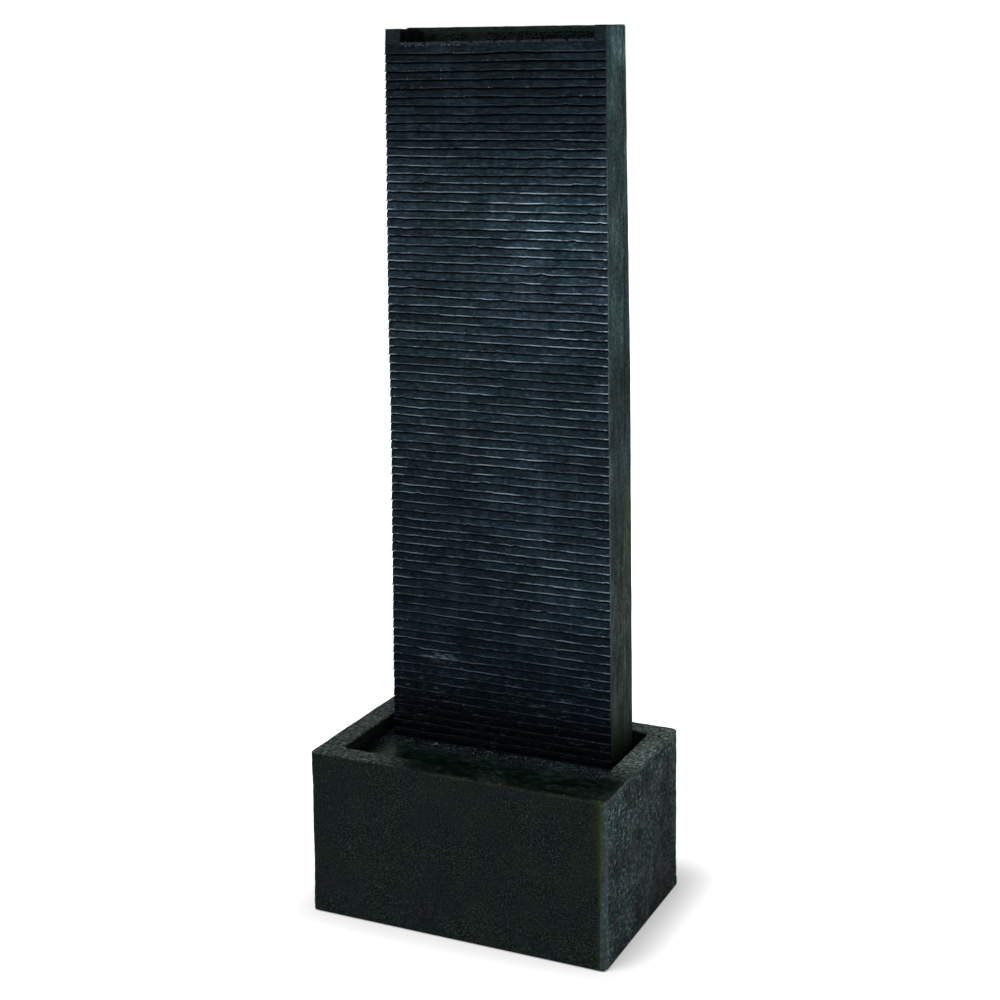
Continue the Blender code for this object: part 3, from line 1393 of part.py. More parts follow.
def make_regulator(strainer_end):
    """The dial on the strainer and the half-round shutter that it turns before the eye."""
    shutter_x = VOLUTE_END + SEAT
    stem_end = strainer_end + DIAL_THICKNESS * 0.6
    shutter = rod(
        "pump_regulator_shutter",
        along_pump(shutter_x),
        along_pump(shutter_x + SHUTTER_THICKNESS),
        SHUTTER_RADIUS,
    )
    stem = rod(
        "shutter_stem_joined",
        along_pump(shutter_x + SHUTTER_THICKNESS / 2),
        along_pump(stem_end),
        DIAL_STEM_RADIUS,
        sides=16,
    )
    half = block(
        "shutter_half_cutter",
        along_pump(shutter_x - SMALL_CUT_PAST, -SHUTTER_RADIUS * 1.2, -SHUTTER_RADIUS * 1.2),
        along_pump(shutter_x + SHUTTER_THICKNESS + 0.0005, SHUTTER_RADIUS * 1.2, 0.0),
    )
    cut(shutter, half)
    join(shutter, stem)
    finish(shutter, "grey_plastic")

    dial_x = strainer_end + SEAT
    dial = rod(
        "pump_regulator_dial",
        along_pump(dial_x),
        along_pump(dial_x + DIAL_THICKNESS),
        DIAL_RADIUS,
    )
    grip = block(
        "dial_grip_joined",
        along_pump(dial_x + DIAL_THICKNESS - JOIN_OVERLAP, -DIAL_GRIP_HALF_WIDTH, -DIAL_RADIUS * 0.9),
        along_pump(dial_x + DIAL_THICKNESS + DIAL_GRIP_HEIGHT, DIAL_GRIP_HALF_WIDTH, DIAL_RADIUS * 0.9),
    )
    socket = rod(
        "dial_socket_cutter",
        along_pump(dial_x - SMALL_CUT_PAST),
        along_pump(stem_end + SEAT),
        DIAL_STEM_RADIUS + SEAT,
        sides=16,
    )
    join(dial, grip)
    cut(dial, socket)
    finish(dial, "grey_plastic")
    hang("regulator_axis", along_pump(dial_x), [shutter, dial])


def make_hose_tail():
    """The threaded hose tail through the tray's floor, with its gasket and nut."""
    shank = TAIL_SHANK_RADIUS
    tail = turned(
        "hose_tail",
        (
            (BARB_BORE_RADIUS, TAIL_FLANGE_THICKNESS),
            (TAIL_FLANGE_RADIUS - 0.001, TAIL_FLANGE_THICKNESS),
            (TAIL_FLANGE_RADIUS, TAIL_FLANGE_THICKNESS - 0.001),
            (TAIL_FLANGE_RADIUS, 0.0),
            (shank, 0.0),
            (shank, -TAIL_SHANK_LENGTH),
            (BARB_RADIUS, -TAIL_SHANK_LENGTH),
            (BARB_RADIUS * 0.9, -TAIL_SHANK_LENGTH - BARB_LENGTH * 0.4),
            (BARB_RADIUS, -TAIL_SHANK_LENGTH - BARB_LENGTH * 0.45),
            (BARB_RADIUS * 0.9, -TAIL_SHANK_LENGTH - BARB_LENGTH * 0.7),
            (BARB_RADIUS, -TAIL_SHANK_LENGTH - BARB_LENGTH * 0.75),
            (BARB_RADIUS * 0.9, -TAIL_SHANK_LENGTH - BARB_LENGTH),
            (BARB_BORE_RADIUS, -TAIL_SHANK_LENGTH - BARB_LENGTH),
        ),
        (TAIL_X, TAIL_Y, TAIL_FLANGE_BOTTOM),
        (0, 0, 1),
        steps=20,
        ring=True,
    )
    finish(tail, "grey_plastic")
    gasket = turned(
        "hose_tail_gasket",
        (
            (TAIL_FLANGE_RADIUS - 0.0005, TAIL_GASKET_THICKNESS),
            (TAIL_FLANGE_RADIUS - 0.0005, 0.0),
            (shank + SEAT, 0.0),
            (shank + SEAT, TAIL_GASKET_THICKNESS),
        ),
        (TAIL_X, TAIL_Y, TRAY_FLOOR_TOP + SEAT),
        (0, 0, 1),
        ring=True,
    )
    finish(gasket, "black_rubber")
    nut_top = TRAY_BOTTOM - SEAT
    nut = rod(
        "hose_tail_nut",
        (TAIL_X, TAIL_Y, nut_top - TAIL_NUT_HEIGHT),
        (TAIL_X, TAIL_Y, nut_top),
        TAIL_NUT_RADIUS,
        sides=6,
    )
    bore = rod(
        "tail_nut_cutter",
        (TAIL_X, TAIL_Y, nut_top - TAIL_NUT_HEIGHT - SMALL_CUT_PAST),
        (TAIL_X, TAIL_Y, nut_top + SMALL_CUT_PAST),
        shank + SEAT,
    )
    cut(nut, bore)
    finish(nut, "grey_plastic")


def hose_route():
    """Centre line of the hose: upright at both ends, with a slow bow between them."""
    points = []
    for i in range(HOSE_POINTS):
        share = i / (HOSE_POINTS - 1)
        ease = 0.5 - 0.5 * math.cos(math.pi * share)
        straight = NOZZLE_X + (TAIL_X - NOZZLE_X) * ease
        bow = HOSE_BOW * math.sin(math.pi * share) ** 2
        z = HOSE_BOTTOM + (HOSE_TOP - HOSE_BOTTOM) * share
        points.append((straight - bow, PUMP_Y + (TAIL_Y - PUMP_Y) * ease, z))
    return points


def make_hose():
    curve = bpy.data.curves.new("supply_hose", "CURVE")
    curve.dimensions = "3D"
    curve.bevel_depth = HOSE_RADIUS
    curve.bevel_resolution = HOSE_BEVEL_RESOLUTION
    curve.use_fill_caps = False
    add_spline(curve, hose_route(), closed=False)
    line = bpy.data.objects.new("supply_hose", curve)
    bpy.context.scene.collection.objects.link(line)
    hose = meshed(line)
    wall = hose.modifiers.new("wall", "SOLIDIFY")
    wall.thickness = HOSE_WALL
    wall.offset = -1.0
    wall.use_even_offset = True
    finish(hose, "clear_hose")


def make_clamp(level, x, z):
    """A worm-drive clamp round the hose, with its screw across the front."""
    inner = HOSE_RADIUS + SEAT
    outer = inner + CLAMP_BAND
    low = z - CLAMP_WIDTH / 2
    band = rod(f"{level}_hose_clamp", (x, PUMP_Y, low), (x, PUMP_Y, low + CLAMP_WIDTH), outer)
    length, reach, height = CLAMP_HOUSING
    housing = block(
        f"{level}_clamp_housing_joined",
        (x - length / 2, PUMP_Y + inner, z - height / 2),
        (x + length / 2, PUMP_Y + inner + reach, z + height / 2),
    )
    join(band, housing)
    bore = rod(
        f"{level}_clamp_bore_cutter",
        (x, PUMP_Y, low - SMALL_CUT_PAST),
        (x, PUMP_Y, low + CLAMP_WIDTH + SMALL_CUT_PAST),
        inner,
    )
    screw_y = PUMP_Y + inner + reach * 0.55
    screw_hole = rod(
        f"{level}_clamp_screw_cutter",
        (x - length, screw_y, z),
        (x + length, screw_y, z),
        CLAMP_SCREW_RADIUS + SEAT,
        sides=12,
    )
    cut(band, bore, screw_hole)
    finish(band, "stainless_steel")
    head = CLAMP_SCREW_HEAD_HEIGHT
    start = x - length / 2 - SEAT - head
    profile = (
        (0.0, CLAMP_SCREW_LENGTH + head),
        (CLAMP_SCREW_RADIUS, CLAMP_SCREW_LENGTH + head),
        (CLAMP_SCREW_RADIUS, head),
        (CLAMP_SCREW_HEAD_RADIUS, head),
        (CLAMP_SCREW_HEAD_RADIUS, 0.0),
        (0.0, 0.0),
    )
    screw = turned(f"{level}_clamp_screw", profile, (start, screw_y, z), (1, 0, 0), steps=12)
    finish(screw, "stainless_steel")


def make_clamps():
    margin = BARB_LENGTH / 2
    make_clamp("lower", NOZZLE_X, HOSE_BOTTOM + margin)
    make_clamp("upper", TAIL_X, HOSE_TOP - margin)


clear_scene()
make_materials()
PARTS = make_collection("waterfall_garden_fountain")
CUTTERS = make_collection("cutters")
make_basin()
make_foot_pads()
make_drain_plug()
make_tower_shell()
make_rear_panel()
make_panel_screws()
make_tray()
door_pieces = make_hinges() + make_door()
hang("access_door_axis", (HINGE_X, HINGE_Y, DOOR_BOTTOM), door_pieces)
make_grommet()
make_brackets()
make_motor()
make_suction_feet()
make_cord_gland()
make_volute()
make_pump_inside()
make_rotor()
make_regulator(make_strainer())
make_hose_tail()
make_hose()
make_clamps()
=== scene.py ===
"""Waterfall garden fountain: the finish of its cast stone, its wet slate face and its water."""

import json
import math
import random

import bpy
import numpy
from mathutils import Matrix, Vector, noise


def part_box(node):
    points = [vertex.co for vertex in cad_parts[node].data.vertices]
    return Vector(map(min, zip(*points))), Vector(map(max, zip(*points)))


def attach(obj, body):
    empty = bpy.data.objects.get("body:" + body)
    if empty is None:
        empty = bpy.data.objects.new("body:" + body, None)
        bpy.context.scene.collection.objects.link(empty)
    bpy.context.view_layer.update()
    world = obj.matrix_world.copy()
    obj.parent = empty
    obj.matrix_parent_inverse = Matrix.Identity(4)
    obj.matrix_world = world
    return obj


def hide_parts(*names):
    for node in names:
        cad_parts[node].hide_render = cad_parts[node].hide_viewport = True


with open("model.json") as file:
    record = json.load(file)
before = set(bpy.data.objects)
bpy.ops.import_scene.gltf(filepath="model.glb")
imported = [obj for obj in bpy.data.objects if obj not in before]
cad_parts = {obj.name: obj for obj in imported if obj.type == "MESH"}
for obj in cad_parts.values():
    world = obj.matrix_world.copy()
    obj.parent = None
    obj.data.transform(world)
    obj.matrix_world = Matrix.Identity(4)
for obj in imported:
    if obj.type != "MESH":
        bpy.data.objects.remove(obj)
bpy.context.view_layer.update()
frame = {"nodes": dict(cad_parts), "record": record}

MM = 0.001

# Places read from the frame
BASIN_LOW, BASIN_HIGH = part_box("basin")
TOWER_LOW, TOWER_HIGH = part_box("tower_shell")
TRAY_LOW, TRAY_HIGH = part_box("top_tray")
PANEL_LOW, PANEL_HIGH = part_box("rear_panel")
TOWER_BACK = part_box("access_door")[1].y

# Sizes of the casting that the water and the finish follow
SEAT = 0.3 * MM
BASIN_WALL = 30 * MM
WATERLINE = 208 * MM
TOWER_TOP_HALF_WIDTH = 152.0 * MM
TOWER_WATERLINE_HALF_WIDTH = 162.7 * MM
TOWER_WALL = 10 * MM
TRAY_WALL = 3 * MM
REAR_RIM_THICKNESS = 3 * MM
REAR_RIM_BELOW = 16.0 * MM
FACE_VALLEY = TOWER_LOW.y + 3.0 * MM
FACE_BACK = FACE_VALLEY + 0.2 * MM
HOLLOW_FRONT = FACE_VALLEY + 9 * MM
SPILL_LEVEL = TOWER_HIGH.z - 16 * MM
LIP_SEAT = SPILL_LEVEL - 3.5 * MM
SPILL_LEFT = -TOWER_TOP_HALF_WIDTH + 20.6 * MM
SPILL_RIGHT = TOWER_TOP_HALF_WIDTH - 14.1 * MM
POOL_HALF_WIDTH = BASIN_HIGH.x - BASIN_WALL
POOL_HALF_DEPTH = BASIN_HIGH.y - BASIN_WALL

# Slate courses of the face
COURSE_PITCH_TOP = 11.1 * MM
COURSE_PITCH_FOOT = 12.6 * MM
COURSE_VARIATION = 0.8 * MM
COURSE_UNDERCUT = 0.9 * MM
COURSE_SEED = 7
FACE_COLUMNS = 142
SLAB_COLUMNS = (14, 70)
SLAB_LIFT = 0.45 * MM
SLAB_PROUD = 0.5 * MM
LIP_WAVE = 1.1 * MM
LIP_RIPPLE = 0.62 * MM
PROUD_RIPPLE = 0.8 * MM
END_WEAR = 0.5 * MM
FACE_ROUGHNESS = 0.42 * MM
# Down one course: how far down it a row lies, how deep it lies, how dark the painted shade of its
# groove is, how much painted highlight its lip gets
COURSE_ROWS = (
    (0.00, 1.00, 1.00, 0.0),
    (0.08, 0.76, 0.95, 0.0),
    (0.19, 0.56, 0.10, 0.0),
    (0.55, 0.48, 0.00, 0.0),
    (0.87, 0.40, 0.00, 0.0),
    (0.93, 0.05, 0.00, 1.0),
    (1.00, 0.00, 0.45, 0.8),
)

# Wear of the tower's casting
SIDE_ZONE = 1.8 * MM
TOP_ZONE = 2 * MM
EAR_BEVEL = 1.6 * MM
SIDE_SWELL = 0.35 * MM
SIDE_PITS = 0.18 * MM
TOWER_STEP = 6 * MM
PANEL_STEP = 12 * MM
EAR_RISE_LEFT = 1.3 * MM
EAR_RISE_RIGHT = 0.2 * MM
PANEL_RISE_RIGHT = 1.6 * MM
PANEL_RISE_MORE = 2.6 * MM

# How the basin's casting widens towards its foot. A lean is its reach at the rim and what the
# foot adds
BASIN_CORNER = 8 * MM
LEAN_LEFT = (2.6 * MM, 1.4 * MM)
LEAN_RIGHT = (1.0 * MM, 1.6 * MM)
FOOT_FLARE = 2.0 * MM
FOOT_HEIGHT = 80 * MM
SKIRT_DROP = 2.4 * MM
SKIRT_HEIGHT = 25 * MM
BLEND_WIDTH = 12 * MM

# Wear of the basin's casting
REMESH_SIZE = 3 * MM
REMESH_SHRINK = 0.3 * MM
BASIN_SWELL = 0.7 * MM
BASIN_ROUGHNESS = 0.40 * MM
PIT_SPACING = 9 * MM
PIT_REACH = 0.34
PIT_DEPTH = 3.6 * MM
CHIP_START = 0.12
CHIP_DEPTH = 3.0 * MM
WORN_EDGE = 3 * MM

# Water and what lies on it
WATER_GAP = 0.4 * MM
WATER_SKIN = 2.5 * MM
POOL_CORNER = 10 * MM
LAP_LENGTH = 9 * MM
LAP_HEIGHT = 0.8 * MM
LAP_FADE = 32 * MM
RING_RADIUS = 20 * MM
RING_WIDTH = 3 * MM
RING_HEIGHT = 0.9 * MM
CHOP_HEIGHT = 0.55 * MM
FOAM_REACH = 48 * MM
FOAM_SEED = 21
BUBBLES = 900
BUBBLE_RADIUS = 1.3 * MM
DROPS_SEED = 33
DROP_RADIUS = 1.0 * MM
LIP_DROPS = 150
SPILL_DROPS = 60
SPILL_DROPS_MIDDLE = -60 * MM
SPILL_DROPS_SPREAD = 35 * MM
MOSS_SEED = 45
MOSS_CLUMPS = 520
MOSS_RADIUS = 1.6 * MM

# Hinge screws
SCREW_SEED = 5
SCREW_RADIUS = 2.4 * MM
SCREW_HEAD = 0.8 * MM
SCREW_INSET = 6.5 * MM
LEAF_THICKNESS = 1.2 * MM

# Patches of the wet face that catch the light: place (x, z), reach and squash
SHEEN_SPOTS = (
    ((0.085, 0.915), 0.13, 1.4),
    ((0.045, 0.590), 0.13, 0.8),
    ((-0.115, 0.610), 0.13, 1.2),
    ((0.120, 0.450), 0.08, 1.2),
)
# A painted highlight low on the left of the wet face: place (x, z), reach and squash
SPLASH_HIGHLIGHT_SPOT = ((-0.088, 0.334), 0.038, 3.2)

# Camera and lamps
CAMERA_PLACE = (0.9535, -2.0180, 1.1069)
CAMERA_YAW = math.radians(-25.076)
CAMERA_PITCH = math.radians(-12.055)
CAMERA_ROLL = math.radians(-0.608)
CAMERA_LENS = 62.616
CAMERA_SHIFT = -0.048
LAMP_TARGET = (0, 0, 0.6)


# Modelling helpers

def deselect():
    bpy.ops.object.select_all(action="DESELECT")


def select_only(piece):
    deselect()
    piece.select_set(True)
    bpy.context.view_layer.objects.active = piece


def settle(piece, name, scale=(1, 1, 1)):
    """Names and sizes a new piece, and moves its place into its mesh."""
    piece.name = name
    piece.scale = scale
    select_only(piece)
    bpy.ops.object.transform_apply(location=True, rotation=True, scale=True)
    return piece


def add_box(name, low, high):
    low, high = Vector(low), Vector(high)
    deselect()
    bpy.ops.mesh.primitive_cube_add(size=1, location=(low + high) / 2)
    return settle(bpy.context.object, name, high - low)


def add_grid(name, columns, rows, low, high):
    """A flat sheet with its face up, between two corners."""
    low, high = Vector(low), Vector(high)
    deselect()
    bpy.ops.mesh.primitive_grid_add(
        x_subdivisions=columns, y_subdivisions=rows, size=1, location=(low + high) / 2
    )
    return settle(bpy.context.object, name, (high.x - low.x, high.y - low.y, 1))


def add_object(name, data):
    piece = bpy.data.objects.new(name, data)
    bpy.context.scene.collection.objects.link(piece)
    return piece


def apply_modifier(piece, kind, **settings):
    select_only(piece)
    modifier = piece.modifiers.new(kind.lower(), kind)
    for name, value in settings.items():
        setattr(modifier, name, value)
    bpy.ops.object.modifier_apply(modifier=modifier.name)


def cut_away(piece, cutter):
    apply_modifier(piece, "BOOLEAN", operation="DIFFERENCE", solver="EXACT", object=cutter)
    bpy.data.objects.remove(cutter, do_unlink=True)


def open_edit(piece, selected="DESELECT", kind="VERT"):
    """Opens edit mode on one piece, with all or nothing of it selected."""
    select_only(piece)
    bpy.ops.object.mode_set(mode="EDIT")
    bpy.ops.mesh.select_mode(type=kind)
    bpy.ops.mesh.select_all(action=selected)


def close_edit():
    bpy.ops.object.mode_set(mode="OBJECT")


def pick(piece, kind, test):
    """Opens edit mode with the faces or edges selected whose middle and direction pass a test."""
    open_edit(piece, kind=kind)
    close_edit()
    mesh = piece.data
    if kind == "FACE":
        for face in mesh.polygons:
            face.select = test(face.center, face.normal)
    else:
        for edge in mesh.edges:
            start, end = (mesh.vertices[i].co for i in edge.vertices)
            edge.select = test((start + end) / 2, (end - start).normalized())
    bpy.ops.object.mode_set(mode="EDIT")


def cut_plane(place, normal):
    """Cuts the piece in edit mode by a plane, and keeps both sides."""
    bpy.ops.mesh.select_all(action="SELECT")
    bpy.ops.mesh.bisect(plane_co=place, plane_no=normal)


def slice_evenly(piece, axis, start, end, step):
    """Cuts a piece by evenly spaced planes across one axis, so that it has points to shape."""
    open_edit(piece)
    normal = [float(axis == i) for i in range(3)]
    count = int((end - start) / step)
    for i in range(1, count):
        level = start + i * (end - start) / count
        cut_plane([level * share for share in normal], normal)
    close_edit()


def copy_of(node, name):
    """A CAD node's solid as a new piece, with its loose triangles merged into whole faces."""
    piece = add_object(name, frame["nodes"][node].data.copy())
    piece.data.materials.clear()
    open_edit(piece, "SELECT")
    bpy.ops.mesh.remove_doubles(threshold=0.01 * MM)
    bpy.ops.mesh.dissolve_limited(angle_limit=math.radians(0.5))
    close_edit()
    return piece


def points_of(piece, what="co"):
    """The places of a piece's points, or their directions where what is "normal"."""
    values = numpy.empty(len(piece.data.vertices) * 3)
    piece.data.vertices.foreach_get(what, values)
    return values.reshape(-1, 3)


def set_points(piece, places):
    piece.data.vertices.foreach_set("co", numpy.asarray(places).reshape(-1))
    piece.data.update()


def reshape(piece, move):
    """Moves each point of a piece to the place that a function gives for it."""
    set_points(piece, [move(x, y, z) for x, y, z in points_of(piece)])


def add_attribute(piece, name, values):
    attribute = piece.data.attributes.new(name, "FLOAT", "POINT")
    attribute.data.foreach_set("value", numpy.asarray(values, dtype=numpy.float32))


def soften(piece, angle):
    select_only(piece)
    bpy.ops.object.shade_smooth_by_angle(angle=math.radians(angle))


def bumps(place, size, octaves=3):
    """Smooth random bumps between about -1 and 1, with a width of about this size."""
    point = Vector(place) / size
    return noise.fractal(point, 1.0, 2.0, octaves, noise_basis="PERLIN_ORIGINAL")


def dress(piece, material, body="fountain"):
    piece.data.materials.clear()
    piece.data.materials.append(material)
    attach(piece, body)


def tower_half_width(z):
    share = (z - WATERLINE) / (TOWER_HIGH.z - WATERLINE)
    return TOWER_WATERLINE_HALF_WIDTH + (TOWER_TOP_HALF_WIDTH - TOWER_WATERLINE_HALF_WIDTH) * share


def bow(z):
    """How far the left side bows out of a straight line at a height, as cast."""
    heights = (0.208, 0.34, 0.45, 0.60, 0.71, 0.77, 0.86, 0.95, 1.05, 1.172)
    reaches = (0.6, 0.9, 0.4, 0.0, 0.3, 1.5, 1.7, 1.3, 0.8, 0.6)
    return numpy.interp(z, heights, reaches) * MM


def course_lips():
    """Heights of the proud lower edges of the slate courses, from the spill down."""
    chance = random.Random(COURSE_SEED)
    lips = []
    height = LIP_SEAT
    while True:
        share = (SPILL_LEVEL - height) / (SPILL_LEVEL - TOWER_LOW.z)
        pitch = COURSE_PITCH_TOP + (COURSE_PITCH_FOOT - COURSE_PITCH_TOP) * share
        height -= pitch + chance.uniform(-COURSE_VARIATION, COURSE_VARIATION)
        if height < TOWER_LOW.z + COURSE_PITCH_FOOT:
            return lips
        lips.append(height)


# Material helpers

def fill(tree, node, inputs):
    """Links a node's inputs to the sockets in a table, and sets those that have a plain value."""
    for name, value in inputs.items():
        socket = node.inputs[name]
        if isinstance(value, bpy.types.NodeSocket):
            tree.links.new(value, socket)
        elif socket.type == "RGBA":
            socket.default_value = (*value, 1.0)
        else:
            socket.default_value = value


def new_material(name, roughness=0.5, metallic=0.0, specular=0.5):
    material = bpy.data.materials.new(name)
    material.use_nodes = True
    tree = material.node_tree
    shader = tree.nodes["Principled BSDF"]
    levels = {"Roughness": roughness, "Metallic": metallic, "Specular IOR Level": specular}
    fill(tree, shader, levels)
    return material, tree, shader


def add_node(tree, kind, inputs=None, **settings):
    node = tree.nodes.new(kind)
    for name, value in settings.items():
        setattr(node, name, value)
    fill(tree, node, inputs or {})
    return node


def object_place(tree, stretch=(1, 1, 1)):
    """Coordinates on the object in metres, stretched along each axis."""
    place = add_node(tree, "ShaderNodeTexCoord").outputs["Object"]
    mapping = add_node(tree, "ShaderNodeMapping", {"Vector": place, "Scale": stretch})
    return mapping.outputs["Vector"]


def axis_of(tree, axis):
    place = add_node(tree, "ShaderNodeTexCoord").outputs["Object"]
    return add_node(tree, "ShaderNodeSeparateXYZ", {"Vector": place}).outputs[axis]


def grain(tree, place, scale, detail=4.0, roughness=0.55):
    inputs = {"Vector": place, "Scale": scale, "Detail": detail, "Roughness": roughness}
    return add_node(tree, "ShaderNodeTexNoise", inputs).outputs["Fac"]


def cells(tree, place, scale):
    inputs = {"Vector": place, "Scale": scale}
    return add_node(tree, "ShaderNodeTexVoronoi", inputs).outputs["Distance"]


def patches(tree, settings, start, end, low=0.0, high=1.0):
    """Soft patches: a grain, by its settings, faded between two of its levels."""
    return fade(tree, grain(tree, *settings), start, end, low, high)


def attribute_of(tree, name):
    return add_node(tree, "ShaderNodeAttribute", attribute_name=name).outputs["Fac"]


def fade(tree, value, start, end, low=0.0, high=1.0):
    """Maps start to end onto low to high, smoothly and clamped."""
    inputs = {"Value": value, "From Min": start, "From Max": end, "To Min": low, "To Max": high}
    node = add_node(tree, "ShaderNodeMapRange", inputs, interpolation_type="SMOOTHSTEP")
    return node.outputs["Result"]


def maths(tree, operation, first, second=0.0):
    inputs = {0: first, 1: second}
    return add_node(tree, "ShaderNodeMath", inputs, operation=operation).outputs[0]


def ramp(tree, value, *stops):
    """A colour ramp by its stops, each a (place, colour)."""
    node = add_node(tree, "ShaderNodeValToRGB", {"Fac": value})
    elements = node.color_ramp.elements
    while len(elements) < len(stops):
        elements.new(0.5)
    for element, (place, colour) in zip(elements, stops):
        element.position = place
        element.color = (*colour, 1.0)
    return node.outputs["Color"]


def blend(tree, share, first, second, mode="MIX"):
    """Mixes two colours by a share."""
    inputs = {0: share, 6: first, 7: second}
    return add_node(tree, "ShaderNodeMix", inputs, data_type="RGBA", blend_type=mode).outputs[2]


def overlaid(tree, colour, *coats):
    """Lays coats over a colour, one after the other, each a (share, colour)."""
    for share, coat in coats:
        colour = blend(tree, share, colour, coat)
    return colour


def relief(tree, shader, *layers):
    """Bump layers, each (height, distance in metres, strength), on the shader's normal."""
    inputs = {}
    for height, distance, strength in layers:
        inputs.update({"Height": height, "Distance": distance, "Strength": strength})
        inputs["Normal"] = add_node(tree, "ShaderNodeBump", inputs).outputs["Normal"]
    fill(tree, shader, {"Normal": inputs["Normal"]})


def near_spot(tree, spot, reach, squash):
    """A soft round patch on the tower's face: 1 at its (x, z) spot, 0 this far to the side."""
    place = object_place(tree, (1, 0, squash))
    inputs = {0: place, 1: (spot[0], 0, spot[1] * squash)}
    away = add_node(tree, "ShaderNodeVectorMath", inputs, operation="DISTANCE").outputs["Value"]
    return fade(tree, away, reach, 0)


def band(tree, value, middle, half, soft):
    """1 within half of the middle, 0 further than half and soft from it."""
    away = maths(tree, "ABSOLUTE", maths(tree, "SUBTRACT", value, middle))
    return fade(tree, away, half + soft, half)


def times(tree, first, *others):
    for other in others:
        first = maths(tree, "MULTIPLY", first, other)
    return first


def brightened(tree, colour, *values):
    """A colour made brighter or darker by each value."""
    for value in values:
        inputs = {"Red": value, "Green": value, "Blue": value}
        grey = add_node(tree, "ShaderNodeCombineColor", inputs).outputs[0]
        colour = blend(tree, 1.0, colour, grey, "MULTIPLY")
    return colour


# Materials

